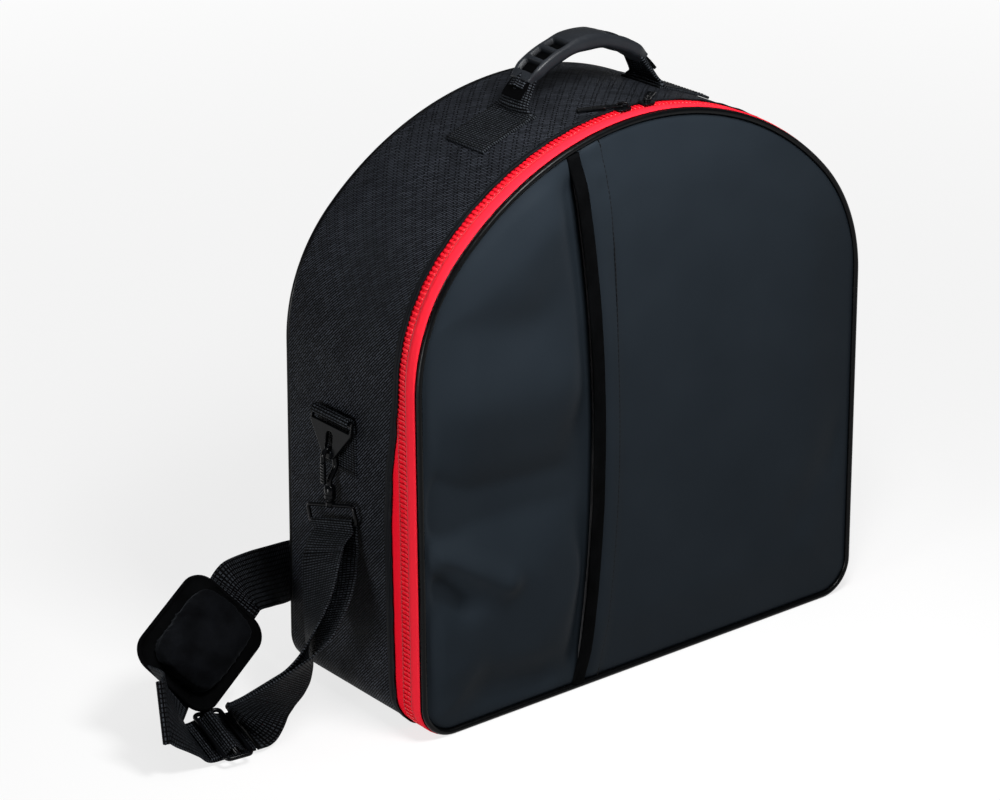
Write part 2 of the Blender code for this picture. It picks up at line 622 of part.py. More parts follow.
def build_clip(side):
    """One side's chape, ring, snap hook with its gate, and swivelling strap loop."""
    word = "right" if side > 0 else "left"
    build_chape(side, word)
    bar, hang, apex, base_top, base_low, boss_low, across, down = hardware_places(side)
    ring_pivot = add_pivot("ring_pivot_" + word, bar)
    top = -RING_BAR / 2
    outline = [
        (-RING_HALF_WIDTH, top),
        (RING_HALF_WIDTH, top),
        (RING_HALF_WIDTH, RING_SHOULDER),
        (RING_APEX_HALF, RING_LENGTH - RING_APEX_BAR / 2),
        (RING_APEX_HALF / 2, RING_LENGTH),
        (-RING_APEX_HALF / 2, RING_LENGTH),
        (-RING_APEX_HALF, RING_LENGTH - RING_APEX_BAR / 2),
        (-RING_HALF_WIDTH, RING_SHOULDER),
    ]
    slot_half = WEBBING_WIDTH / 2 + 2 * FIT
    slot = rounded_box(slot_half, RING_SLOT / 2, FIT, 0.0, RING_BAR / 2 + RING_SLOT / 2, 1)
    eye_end = RING_LENGTH - RING_APEX_BAR
    eye_half = (eye_end - RING_EYE_TOP) / 2
    eye = rounded_box(RING_EYE_HALF, eye_half, RING_EYE_HALF * 0.9, 0.0, eye_end - eye_half)
    mesh = flat_mesh("ring_" + word, [outline, slot, eye], RING_PLATE)
    along = Vector((0.0, 1.0, 0.0))
    seat = Matrix((along, hang, along.cross(hang))).transposed().to_4x4()
    mesh.transform(Matrix.Translation(bar) @ seat)
    add_part("ring_" + word, mesh, BLACK_METAL, ring_pivot)

    outward = Vector((side, 0.0, 0.0))
    up = Vector((0.0, 0.0, 1.0))
    path = [base_top - up * HOOK_WIRE, base_top + up * HOOK_WIRE]
    path.append(apex - outward * HOOK_BEND - up * HOOK_LEG)
    for step in range(7):
        angle = math.pi * step / 6
        path.append(apex - outward * HOOK_BEND * math.cos(angle) + up * HOOK_BEND * math.sin(angle))
    path.append(apex + outward * HOOK_BEND - up * HOOK_TIP)
    mesh = evaluated_mesh(tube_data("hook", path, HOOK_WIRE), "hook")
    hook = add_part("snap_hook_" + word, mesh, BLACK_METAL, ring_pivot)
    unite(hook, [cylinder("base_" + word, HOOK_BASE, base_low, base_top, BLACK_METAL)])

    gate_foot = base_top + outward * HOOK_BEND + up * FIT
    gate_foot.z += HOOK_WIRE
    gate_top = apex + outward * HOOK_BEND - up * (HOOK_TIP + FIT + HOOK_WIRE)
    gate_pivot = add_pivot("gate_pivot_" + word, gate_foot)
    gate_pivot.parent = ring_pivot
    gate_pivot.matrix_parent_inverse = ring_pivot.matrix_world.inverted()
    low = min(gate_foot.z, gate_top.z)
    length = abs(gate_top.z - gate_foot.z) + HOOK_WIRE
    mesh = flat_mesh("gate_" + word, [rounded_box(GATE_PLATE / 2, length / 2, GATE_PLATE / 3)], GATE_WIDTH)
    upright = Matrix.Rotation(math.pi / 2, 4, "X")
    middle = Vector((gate_foot.x, gate_foot.y, low + length / 2))
    mesh.transform(Matrix.Translation(middle) @ upright)
    add_part("gate_" + word, mesh, BLACK_METAL, gate_pivot)

    swivel_pivot = add_pivot("swivel_pivot_" + word, boss_low)
    swivel_pivot.parent = ring_pivot
    swivel_pivot.matrix_parent_inverse = ring_pivot.matrix_world.inverted()
    half = LOOP_INSIDE / 2 + LOOP_WIRE
    bend = LOOP_WIRE * 2
    corners = []
    for along, below in rounded_box(half, LOOP_DROP / 2, bend, 0.0, LOOP_DROP / 2, 2):
        corners.append(boss_low + across * along + down * below)
    wire = tube_data("loop", corners, LOOP_WIRE, closed=True)
    loop = add_part("strap_loop_" + word, evaluated_mesh(wire, "loop"), BLACK_METAL, swivel_pivot)
    boss_top = boss_low + up * SWIVEL_BOSS_LENGTH
    unite(loop, [cylinder("boss_" + word, SWIVEL_BOSS, boss_low - up * LOOP_WIRE, boss_top, BLACK_METAL)])


def strap_place(out, y, z):
    """A place of the strap, given as shares of its spread beside the bag's left side."""
    return Vector((-HALF_WIDTH - out * STRAP_REACH, y * STRAP_REACH, z * STRAP_REACH))


# Out from the left side, to the back and up, in shares of the strap's spread, then the direction across
DROP_SHARES = [
    (0.115, 0.060, 0.840, 0.02, -0.98, 0.20),
    (0.153, 0.067, 0.667, -0.05, -0.98, 0.20),
    (0.200, 0.093, 0.467, -0.35, -0.85, 0.40),
    (0.260, 0.147, 0.290, -0.50, -0.30, 0.80),
    (0.340, 0.190, 0.165, -0.50, 0.50, 0.70),
    (0.433, 0.170, 0.080, -0.42, 0.88, 0.20),
    (0.535, 0.100, 0.068, -0.30, 0.93, 0.20),
    (0.620, 0.037, 0.062, -0.10, 0.96, 0.22),
]
ADJUSTER_SHARES = (0.833, -0.007, 0.055)
STRAP_DIRECTION = Vector((-0.990, 0.123, 0.0)).normalized()
STRAP_ACROSS = Vector((0.120, 0.966, 0.220)).normalized()
PAD_SHARES = (0.705, 0.380, 0.427)
PAD_ALONG = Vector((-0.87, -0.32, -0.39)).normalized()
PAD_ACROSS = Vector((-0.502, 0.503, 0.705)).normalized()
BEND_SHARES = [
    (1.035, 0.055, 0.064, 0.15, 0.95, 0.25),
    (1.093, 0.130, 0.147, 0.00, 0.87, 0.40),
    (1.073, 0.215, 0.253, -0.25, 0.75, 0.55),
]
TAIL_SHARES = [
    (0.167, 0.587, 0.560, -0.33, 0.42, 0.85),
    (-0.020, 0.665, 0.513, -0.20, 0.30, 0.93),
]
# Shares of the half width, of the back's depth and of the ring bar's height, for the run behind the bag
BACK_SHARES = [
    (-0.80, 1.200, 0.310, 0.00, 0.10, 0.99),
    (-0.30, 1.240, 0.350, 0.00, 0.08, 1.00),
    (0.30, 1.240, 0.410, 0.00, 0.08, 1.00),
    (0.80, 1.240, 0.470, 0.00, 0.15, 0.98),
    (1.06, 1.120, 0.510, 0.25, 0.25, 0.92),
    (1.17, 0.720, 0.430, 0.42, 0.50, 0.70),
    (1.13, 0.300, 0.345, 0.30, 0.85, 0.40),
    (1.09, 0.080, 0.400, 0.10, 0.98, 0.05),
]


def frames(rows, skewed=0):
    """Centre, unit across and unit normal of each row, the across square to the run but at a skewed end."""
    made = []
    for index, row in enumerate(rows):
        ahead = Vector(rows[min(index + 1, len(rows) - 1)][:3])
        behind = Vector(rows[max(index - 1, 0)][:3])
        run = (ahead - behind).normalized()
        given = Vector(row[3:]).normalized()
        square = (given - run * given.dot(run)).normalized()
        left = len(rows) - 1 - index
        share = 1 - left / skewed if left < skewed else 0.0
        across = square.lerp(given, share).normalized()
        made.append((Vector(row[:3]), across, run.cross(across).normalized()))
    return made


def strap_rise():
    """Up from the tilted plane in which the adjuster lies."""
    return STRAP_ACROSS.cross(STRAP_DIRECTION).normalized()


def adjuster_place(along, aside, height):
    """A place by the adjuster: along the strap, across it, and up from the plane that it lies in."""
    centre = strap_place(*ADJUSTER_SHARES)
    return centre + STRAP_DIRECTION * along + STRAP_ACROSS * aside + strap_rise() * height


def bar_fold(centre, across, down, away, radius):
    """Half a turn of webbing over a bar, from one face to the other."""
    rows = []
    for step in range(7):
        angle = math.pi * step / 6
        place = centre + away * radius * math.cos(angle) - down * radius * math.sin(angle)
        rows.append((place, across * WEBBING_WIDTH / 2))
    return rows


def loop_bar(side):
    """Centre of the strap loop's lower bar, with the axes of the webbing that folds over it."""
    _, _, _, _, _, boss_low, across, down = hardware_places(side)
    return boss_low + down * LOOP_DROP, across, down


def build_strap_drop():
    """Two layers of webbing that hang from the left loop, half turned over, to the floor and the adjuster."""
    centre, across, down = loop_bar(-1)
    rows = [[*(centre + down * reach * LOOP_WIRE), *across] for reach in (4, 9)]
    rows += [[*strap_place(*row[:3]), *row[3:]] for row in DROP_SHARES]
    rows.append([*adjuster_place(-WRAP_REACH - WEBBING, WRAP_SHIFT, LAYER_GAP_FLOOR), *STRAP_ACROSS])
    line = frames(smooth(rows, STRAP_STEPS), 2 * STRAP_STEPS)
    line[-1] = (line[-1][0], line[-1][1], -strap_rise())
    half = WEBBING_WIDTH / 2
    away = line[0][2]
    radius = LOOP_WIRE + 3 * FIT + WEBBING / 2
    up_layer = []
    down_layer = []
    for index, (place, side, normal) in enumerate(line):
        gap = LAYER_GAP + (LAYER_GAP_FLOOR - LAYER_GAP) * (index / (len(line) - 1)) ** 2
        up_layer.insert(0, (place - normal * gap, side * half))
        down_layer.append((place + normal * gap, side * half))
    fold = bar_fold(centre, across, down, -away, radius)
    ribbon("strap_drop", up_layer + fold + down_layer, WEBBING, WEBBING_BLACK)


def build_strap_run():
    """One layer from the adjuster, up through the pad and round the back, and its end on the right loop."""
    rows = []
    for along in (-WRAP_REACH, 0.0, WRAP_REACH):
        rows.append([*adjuster_place(along, WRAP_SHIFT, 0.0), *STRAP_ACROSS])
    rows += [[*strap_place(*row[:3]), *row[3:]] for row in BEND_SHARES]
    pad = strap_place(*PAD_SHARES)
    for share in (0.62, 0.45, 0.2, -0.1, -0.4, -0.58, -0.75):
        rows.append([*(pad + PAD_ALONG * PAD_LENGTH * share), *PAD_ACROSS])
    rows += [[*strap_place(*row[:3]), *row[3:]] for row in TAIL_SHARES]
    for x, y, z, *side in BACK_SHARES:
        rows.append([x * HALF_WIDTH, y * BACK_REACH, z * RING_BAR_Z, *side])
    parting = (len(rows) - 2) * STRAP_STEPS
    centre, across, down = loop_bar(1)
    rows += [[*(centre + down * reach * LOOP_WIRE), *(-across)] for reach in (21, 12, 5)]
    line = frames(smooth(rows, STRAP_STEPS))
    line[0] = (line[0][0], STRAP_ACROSS, -strap_rise())
    half = WEBBING_WIDTH / 2
    layer = [(place, side * half) for place, side, normal in line]
    radius = LOOP_WIRE + 3 * FIT + WEBBING / 2
    fold = bar_fold(centre, -across, down, across.cross(down), radius)
    ribbon("strap_run", layer[: parting + 1], WEBBING, WEBBING_BLACK)
    place, side = layer[parting]
    run = (layer[parting + 1][0] - place).normalized()
    end = [(place + run * FIT, side)] + layer[parting + 1 :] + fold
    ribbon("strap_end_right", end, WEBBING, WEBBING_BLACK)


def build_adjuster():
    """The sliding frame with its middle bar, and the webbing that rises over that bar."""
    pivot = add_pivot("adjuster_pivot", adjuster_place(0.0, 0.0, 0.0))
    corners = []
    for along, across in rounded_box(ADJUSTER_SPAN / 2, ADJUSTER_LENGTH / 2, ADJUSTER_WIRE * 2, 0.0, 0.0, 2):
        corners.append(adjuster_place(along, across, ADJUSTER_LIFT))
    frame = evaluated_mesh(tube_data("frame", corners, ADJUSTER_WIRE, closed=True), "frame")
    body = add_part("strap_adjuster", frame, BLACK_METAL, pivot)
    ends = [adjuster_place(0.0, side * ADJUSTER_LENGTH / 2, ADJUSTER_LIFT) for side in (-1, 1)]
    unite(body, [cylinder("adjuster_bar", ADJUSTER_WIRE, *ends, BLACK_METAL)])
    rows = []
    low = WEBBING + FIT
    crest = ADJUSTER_LIFT + ADJUSTER_WIRE + FIT + WEBBING / 2
    inner = ADJUSTER_SPAN / 2 - ADJUSTER_WIRE - 2 * FIT - WEBBING
    half = STRAP_ACROSS * WEBBING_WIDTH / 2
    for share, height in ((1.0, 0.0), (0.8, 0.0)):
        rows.append((adjuster_place(-share * WRAP_REACH, WRAP_SHIFT, low + (crest - low) * height), half))
    for share, height in ((-0.9, 0.35), (-0.4, 0.9), (0.0, 1.0), (0.4, 0.9), (0.9, 0.35)):
        rows.append((adjuster_place(share * inner, WRAP_SHIFT, low + (crest - low) * height), half))
    for share, height in ((0.8, 0.0), (1.0, 0.0)):
        rows.append((adjuster_place(share * WRAP_REACH, WRAP_SHIFT, low + (crest - low) * height), half))
    ribbon("adjuster_wrap", rows, WEBBING, WEBBING_BLACK, pivot)


def build_pad():
    """The shoulder pad: bound base, crowned cushion and the sleeve that the strap runs through."""
    centre = strap_place(*PAD_SHARES)
    across = (PAD_ACROSS - PAD_ALONG * PAD_ACROSS.dot(PAD_ALONG)).normalized()
    front = across.cross(PAD_ALONG).normalized()
    seat = Matrix((PAD_ALONG, across, -front)).transposed().to_4x4()
    pivot = add_pivot("pad_pivot", centre)
    slot = WEBBING / 2 + SLEEVE_CLEARANCE
    sleeve_half = SLEEVE_THICKNESS / 2
    base_low = sleeve_half + FIT
    outline = rounded_box(PAD_LENGTH / 2, PAD_WIDTH / 2, PAD_CORNER)
    mesh = flat_mesh("pad_base", [outline], PAD_BASE)
    lift = Matrix.Translation((0.0, 0.0, -base_low - PAD_BASE / 2))
    mesh.transform(Matrix.Translation(centre) @ seat @ lift)
    add_part("pad_base", mesh, NYLON, pivot)

    shape = bmesh.new()
    bmesh.ops.create_cube(shape, size=1.0)
    bmesh.ops.subdivide_edges(shape, edges=shape.edges, cuts=2, use_grid_fill=True)
    for vertex in shape.verts:
        draw = CUSHION_SWELL_SHARE * (1 - CUSHION_DRAW_SHARE * (4 * vertex.co.x * vertex.co.y) ** 2)
        vertex.co.x *= (PAD_LENGTH - 2 * PAD_RIM) * draw
        vertex.co.y *= (PAD_WIDTH - 2 * PAD_RIM) * draw
        vertex.co.z *= PAD_CROWN * (1.0 if vertex.co.z > 0.4 else CUSHION_BULGE_SHARE)
    lift = Matrix.Translation((0.0, 0.0, -base_low - PAD_BASE - FIT - PAD_CROWN / 2))
    shape.transform(Matrix.Translation(centre) @ seat @ lift)
    cushion_mesh = bpy.data.meshes.new("pad_cushion")
    shape.to_mesh(cushion_mesh)
    shape.free()
    cushion = add_part("pad_cushion", cushion_mesh, VELOUR, pivot)
    soft = cushion.modifiers.new("crown", "SUBSURF")
    soft.levels = 1
    soft.render_levels = 1

    outer = rounded_box(SLEEVE_WIDTH / 2, sleeve_half, sleeve_half * 0.6, 0.0, 0.0, 2)
    inner = rounded_box(WEBBING_WIDTH / 2 + SLEEVE_CLEARANCE, slot, slot * 0.5, 0.0, 0.0, 1)
    mesh = flat_mesh("pad_sleeve", [outer, inner], PAD_LENGTH - 2 * PAD_RIM)
    turn = Matrix((across, -front, PAD_ALONG)).transposed().to_4x4()
    mesh.transform(Matrix.Translation(centre) @ turn)
    add_part("pad_sleeve", mesh, NYLON, pivot)


build_walls()
build_lid()
for hand in (-1, 1):
    build_slider(hand)
    build_clip(hand)
build_handle()
build_strap_drop()
build_strap_run()
build_adjuster()
build_pad()
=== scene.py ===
import math

import bmesh
import bpy
from mathutils import Matrix, Vector, noise


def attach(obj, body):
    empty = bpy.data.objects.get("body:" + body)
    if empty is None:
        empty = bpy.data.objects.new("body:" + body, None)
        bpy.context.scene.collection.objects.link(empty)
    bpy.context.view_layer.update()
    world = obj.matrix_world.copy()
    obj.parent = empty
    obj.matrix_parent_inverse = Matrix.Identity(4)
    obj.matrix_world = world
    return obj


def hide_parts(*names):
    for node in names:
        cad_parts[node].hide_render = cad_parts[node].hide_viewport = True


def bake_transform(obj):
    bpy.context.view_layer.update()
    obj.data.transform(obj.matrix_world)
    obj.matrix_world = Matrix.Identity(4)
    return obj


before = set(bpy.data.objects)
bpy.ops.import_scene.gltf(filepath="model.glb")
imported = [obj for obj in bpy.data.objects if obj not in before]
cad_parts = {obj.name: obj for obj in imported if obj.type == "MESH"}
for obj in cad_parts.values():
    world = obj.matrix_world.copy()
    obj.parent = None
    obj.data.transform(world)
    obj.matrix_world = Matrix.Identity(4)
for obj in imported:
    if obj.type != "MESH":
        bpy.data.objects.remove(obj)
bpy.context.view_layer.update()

scene = bpy.context.scene
sideways = Vector((0.0, 1.0, 0.0))
upward = Vector((0.0, 0.0, 1.0))

# camera, floor and light
view = {
    "focalPixels": 3357.0,
    "target": Vector((0.0, 0.0, 0.225)),
    "targetPixel": (575.0, 372.0),
    "azimuth": 39.3,
    "elevation": 21.3,
    "distance": 2.7,
    "frame": (1000.0, 800.0),
    "sensor": 36.0,
    "near": 0.05,
}


def makeCamera():
    a, e = math.radians(view["azimuth"]), math.radians(view["elevation"])
    look = Vector((math.sin(a) * math.cos(e), math.cos(a) * math.cos(e), -math.sin(e)))
    wide, high = view["frame"]
    camera = bpy.data.objects.new("camera", bpy.data.cameras.new("camera"))
    scene.collection.objects.link(camera)
    camera.data.sensor_width = view["sensor"]
    camera.data.lens = view["focalPixels"] * view["sensor"] / wide
    camera.location = view["target"] - look * view["distance"]
    camera.rotation_euler = look.to_track_quat("-Z", "Y").to_euler()
    camera.data.shift_x = (wide / 2 - view["targetPixel"][0]) / wide
    camera.data.shift_y = (view["targetPixel"][1] - high / 2) / wide
    camera.data.clip_start = view["near"]
    scene.camera = camera


lamps = {
    "overhead": {"place": (0.3, -0.2, 2.5), "aim": (0.0, 0.0, 0.2), "size": 1.8, "watts": 9.0},
    "key": {"place": (-0.12, -0.44, 0.90), "aim": (-0.01, -0.1, 0.42), "size": 0.26, "watts": 8.6},
    "leftFill": {"place": (-2.3, -0.45, 0.25), "aim": (0.0, 0.0, 0.25), "size": 0.7, "watts": 40.0},
}
stage = {
    "world": 0.12,
    "paper": 0.24,
    "roughness": 0.95,
    "half": 9.0,
    "glowReach": (0.5, 3.0),
    "glow": (0.76, 1.0),
}


def makeStage():
    white = (1.0, 1.0, 1.0, 1.0)
    for name, lamp in lamps.items():
        light = bpy.data.lights.new(name, "AREA")
        light.size = lamp["size"]
        light.energy = lamp["watts"]
        holder = bpy.data.objects.new(name, light)
        holder.location = lamp["place"]
        holder.rotation_euler = (Vector(lamp["aim"]) - Vector(lamp["place"])).to_track_quat("-Z", "Y").to_euler()
        scene.collection.objects.link(holder)
    world = bpy.data.worlds.new("studio")
    world.use_nodes = True
    world.node_tree.nodes["Background"].inputs["Color"].default_value = white
    world.node_tree.nodes["Background"].inputs["Strength"].default_value = stage["world"]
    scene.world = world
    # the floor glows where it's seen or mirrored, and only there, a little less near the bag
    paper, tree, shader = startFinish("paleFloor", [stage["paper"]] * 3, stage["roughness"], gloss=0.0)
    path = addNode(tree, "ShaderNodeLightPath")
    seen = path.outputs["Is Camera Ray"]
    for kind in ("Is Glossy Ray", "Is Transmission Ray"):
        seen = addNode(tree, "ShaderNodeMath", {0: seen, 1: path.outputs[kind]}, operation="ADD").outputs[0]
    spot = addNode(tree, "ShaderNodeVectorMath", {0: surfaceSpace(tree, "Object", scale=1.0)}, operation="LENGTH")
    (near, far), (least, most) = stage["glowReach"], stage["glow"]
    paler = addNode(tree, "ShaderNodeMapRange", {0: spot.outputs["Value"], 1: near, 2: far, 3: least, 4: most})
    strength = addNode(tree, "ShaderNodeMath", {0: seen, 1: paler.outputs[0]}, operation="MULTIPLY")
    glow = addNode(tree, "ShaderNodeEmission", {"Color": white, "Strength": strength.outputs[0]})
    both = addNode(tree, "ShaderNodeAddShader", {0: shader.outputs[0], 1: glow.outputs[0]})
    tree.links.new(both.outputs[0], tree.nodes["Material Output"].inputs["Surface"])
    half = stage["half"]
    corners = [(-half, -half, 0), (half, -half, 0), (half, half, 0), (-half, half, 0)]
    meshObject("floor", corners, [(0, 1, 2, 3)], paper)


# finishes
def addNode(tree, kind, inputs=None, **settings):
    node = tree.nodes.new(kind)
    for key, value in settings.items():
        setattr(node, key, value)
    for socket, value in (inputs or {}).items():
        if isinstance(value, bpy.types.NodeSocket):
            tree.links.new(value, node.inputs[socket])
        else:
            node.inputs[socket].default_value = value
    return node


def startFinish(name, colour, roughness, gloss=0.5):
    finish = bpy.data.materials.new(name)
    finish.use_nodes = True
    shader = finish.node_tree.nodes["Principled BSDF"]
    shader.inputs["Base Color"].default_value = (*colour, 1.0)
    shader.inputs["Roughness"].default_value = roughness
    shader.inputs["Specular IOR Level"].default_value = gloss
    return finish, finish.node_tree, shader


def addRamp(tree, factor, stops):
    ramp = addNode(tree, "ShaderNodeValToRGB", {0: factor})
    elements = ramp.color_ramp.elements
    while len(elements) < len(stops):
        elements.new(0.5)
    for element, (place, colour) in zip(elements, stops):
        element.position = place
        element.color = (*colour, 1.0)
    return ramp.outputs[0]


def addBump(tree, shader, height, distance, strength=1.0, after=None):
    inputs = {"Height": height, "Distance": distance, "Strength": strength}
    if after is not None:
        inputs["Normal"] = after
    bump = addNode(tree, "ShaderNodeBump", inputs)
    tree.links.new(bump.outputs[0], shader.inputs["Normal"])
    return bump.outputs[0]


def surfaceSpace(tree, source="UV", turn=0.0, scale=1000.0):
    # places on the surface, in millimetres
    space = addNode(tree, "ShaderNodeTexCoord")
    mapping = addNode(tree, "ShaderNodeMapping", {"Vector": space.outputs[source]})
    mapping.inputs["Rotation"].default_value = (0.0, 0.0, turn)
    mapping.inputs["Scale"].default_value = (scale, scale, scale)
    return mapping.outputs[0]


def clouds(tree, place, scale, detail):
    return addNode(tree, "ShaderNodeTexNoise", {"Vector": place, "Scale": scale, "Detail": detail}).outputs[0]


def varied(tree, place, scale, low, high):
    middle = (0.3, 0.7)     # most of the noise lies between these
    cloud = clouds(tree, place, scale, 3.0)
    return addNode(tree, "ShaderNodeMapRange", {0: cloud, 1: middle[0], 2: middle[1], 3: low, 4: high}).outputs[0]


def wovenFinish(name, dark, light, roughness, cell, turn, depth, offset=0.5, source="UV"):
    # threads as staggered cells: cell is their length, their pitch and the gap between them, in millimetres
    finish, tree, shader = startFinish(name, dark, roughness, gloss=0.04)
    place = surfaceSpace(tree, source, turn)
    length, pitch, gap = cell
    grid = {
        "Vector": place, "Scale": 1.0, "Brick Width": length, "Row Height": pitch, "Mortar Size": gap,
        "Mortar Smooth": 1.0, "Mortar": (0.0, 0.0, 0.0, 1.0),
        "Color1": (0.78, 0.78, 0.78, 1.0), "Color2": (1.0, 1.0, 1.0, 1.0),
    }
    cells = addNode(tree, "ShaderNodeTexBrick", grid, offset=offset)
    between = tuple(c * 0.45 for c in dark)
    colour = addRamp(tree, cells.outputs["Color"], [(0.0, between), (0.5, dark), (1.0, light)])
    cloud = varied(tree, place, scale=0.02, low=0.82, high=1.15)
    shade = addNode(tree, "ShaderNodeVectorMath", {0: colour}, operation="SCALE")
    tree.links.new(cloud, shade.inputs["Scale"])
    tree.links.new(shade.outputs[0], shader.inputs["Base Color"])
    drift = 0.06
    rough = varied(tree, place, scale=0.05, low=roughness - drift, high=roughness + drift)
    tree.links.new(rough, shader.inputs["Roughness"])
    height = addNode(tree, "ShaderNodeMath", {0: 1.0, 1: cells.outputs["Fac"]}, operation="SUBTRACT")
    addBump(tree, shader, height.outputs[0], depth)
    return finish


leather = {
    "dark": (0.0136, 0.0184, 0.0240),
    "light": (0.0164, 0.0220, 0.0284),
    "roughness": (0.38, 0.50),
    "pebble": {"scale": 1.1, "depth": 0.00006, "strength": 0.5},
    "pores": {"scale": 2.4, "depth": 0.00005, "strength": 0.4},
}


def leatheretteFinish():
    finish, tree, shader = startFinish("leatherette", (0.0150, 0.0200, 0.0265), 0.46, gloss=0.03)
    place = surfaceSpace(tree)
    pebble, pores = leather["pebble"], leather["pores"]
    grain = addNode(tree, "ShaderNodeTexVoronoi", {"Vector": place, "Scale": pebble["scale"]}, feature="SMOOTH_F1")
    fine = clouds(tree, place, pores["scale"], 4.0)
    soft = clouds(tree, place, 0.012, 2.0)
    colour = addRamp(tree, soft, [(0.3, leather["dark"]), (0.7, leather["light"])])
    tree.links.new(colour, shader.inputs["Base Color"])
    low, high = leather["roughness"]
    tree.links.new(varied(tree, place, scale=0.9, low=low, high=high), shader.inputs["Roughness"])
    cells = addBump(tree, shader, grain.outputs["Distance"], pebble["depth"], pebble["strength"])
    addBump(tree, shader, fine, pores["depth"], pores["strength"], cells)
    return finish


def smoothFinish(name, colour, roughness, grain, worn=1.25, gloss=0.5):
    # moulded, lacquered and coated pieces: colour and gloss drift a little, over a grain with a scale and a depth
    finish, tree, shader = startFinish(name, colour, roughness, gloss)
    place = surfaceSpace(tree, "Object")
    light = tuple(min(1.0, c * worn) for c in colour)
    cloud = clouds(tree, place, 0.08, 4.0)
    tree.links.new(addRamp(tree, cloud, [(0.35, colour), (0.75, light)]), shader.inputs["Base Color"])
    rough = varied(tree, place, scale=0.25, low=roughness - 0.05, high=roughness + 0.07)
    tree.links.new(rough, shader.inputs["Roughness"])
    addBump(tree, shader, clouds(tree, place, grain[0], 3.0), grain[1], 0.6)
    return finish


def ribbedFinish(name, colour, gap, pitch, depth, across=True):
    # cloth tape with fine ribs: across its length or along it
    finish, tree, shader = startFinish(name, colour, 0.62, gloss=0.05)
    wave = 0.314159     # length of one wave at scale 1
    inputs = {
        "Vector": surfaceSpace(tree), "Scale": wave / pitch, "Distortion": 0.4, "Detail": 1.0, "Detail Scale": 2.0,
    }
    direction = "X" if across else "Y"
    ribs = addNode(tree, "ShaderNodeTexWave", inputs, wave_type="BANDS", bands_direction=direction)
    tree.links.new(addRamp(tree, ribs.outputs["Fac"], [(0.0, gap), (0.45, colour)]), shader.inputs["Base Color"])
    addBump(tree, shader, ribs.outputs["Fac"], depth)
    return finish


def fuzzyFinish(name, dark, light, scale, depth, sheen):
    finish, tree, shader = startFinish(name, dark, 0.9, gloss=0.03)
    shader.inputs["Sheen Weight"].default_value = sheen
    shader.inputs["Sheen Roughness"].default_value = 0.45
    shader.inputs["Sheen Tint"].default_value = (0.55, 0.62, 0.70, 1.0)
    place = surfaceSpace(tree, "Object")
    pile = addNode(tree, "ShaderNodeTexNoise", {"Vector": place, "Scale": scale, "Detail": 5.0, "Roughness": 0.7})
    brushed = clouds(tree, place, 0.06, 3.0)
    mixed = addNode(tree, "ShaderNodeMath", {0: pile.outputs[0], 1: brushed}, operation="MULTIPLY")
    tree.links.new(addRamp(tree, mixed.outputs[0], [(0.12, dark), (0.42, light)]), shader.inputs["Base Color"])
    addBump(tree, shader, pile.outputs[0], depth)
    return finish


def darkenWhere(finish, name, least):
    # painted shade: a point attribute of the piece takes the colour and the gloss down
    tree = finish.node_tree
    shader = tree.nodes["Principled BSDF"]
    colour, level = shader.inputs["Base Color"], shader.inputs["Specular IOR Level"]
    mask = addNode(tree, "ShaderNodeAttribute", attribute_name=name)
    share = addNode(tree, "ShaderNodeMapRange", {0: mask.outputs["Fac"], 3: 1.0, 4: least})
    shade = addNode(tree, "ShaderNodeVectorMath", {0: colour.links[0].from_socket}, operation="SCALE")
    tree.links.new(share.outputs[0], shade.inputs["Scale"])
    tree.links.new(shade.outputs[0], colour)
    gloss = addNode(tree, "ShaderNodeMapRange", {0: mask.outputs["Fac"], 3: level.default_value, 4: 0.0})
    tree.links.new(gloss.outputs[0], level)


nylon = wovenFinish(
    "twillNylon", (0.0006, 0.0007, 0.0010), (0.0400, 0.0450, 0.0560),
    roughness=0.60, cell=(9.0, 1.9, 0.84), turn=-0.80, depth=0.00038, offset=0.34,
)
webbing = wovenFinish(
    "webbingWeave", (0.0008, 0.0009, 0.0012), (0.0340, 0.0390, 0.0460),
    roughness=0.62, cell=(3.6, 2.0, 0.80), turn=1.5708, depth=0.00050, offset=0.0,
)
liningCloth = wovenFinish(
    "liningCloth", (0.022, 0.022, 0.024), (0.042, 0.042, 0.045),
    roughness=0.75, cell=(1.4, 0.9, 0.2), turn=0.0, depth=0.0001, source="Object",
)
leatherette = leatheretteFinish()
tapeRed = ribbedFinish("zipTapeRed", (0.80, 0.007, 0.022), (0.60, 0.004, 0.014), pitch=0.55, depth=0.00006)
tapeRedLight = ribbedFinish("zipTapeRedLight", (0.86, 0.020, 0.040), (0.70, 0.012, 0.024), pitch=0.55, depth=0.00006)
seamTape = ribbedFinish(
    "seamTapeBlack", (0.0060, 0.0068, 0.0084), (0.0012, 0.0014, 0.0018), pitch=1.5, depth=0.00018, across=False,
)
knit = fuzzyFinish(
    "bindingKnit", (0.0004, 0.0005, 0.0006), (0.0022, 0.0024, 0.0028), scale=2.6, depth=0.00035, sheen=0.0,
)
velour = fuzzyFinish(
    "padVelour", (0.0008, 0.0009, 0.0012), (0.0045, 0.0052, 0.0066), scale=1.8, depth=0.00025, sheen=0.04,
)
pipingVinyl = smoothFinish("pipingVinyl", (0.0012, 0.0014, 0.0017), 0.30, grain=(2.2, 0.00003), gloss=0.10)
teethRed = smoothFinish("zipTeethRed", (0.60, 0.004, 0.014), 0.38, grain=(3.0, 0.00002))
cordRed = smoothFinish("zipCordRed", (0.34, 0.003, 0.010), 0.55, grain=(3.0, 0.00004))
threadBlack = smoothFinish("threadBlack", (0.0030, 0.0032, 0.0038), 0.5, grain=(3.0, 0.00003), gloss=0.1)
gripRubber = smoothFinish("gripRubber", (0.0100, 0.0115, 0.0140), 0.38, grain=(1.6, 0.00005), gloss=0.16)
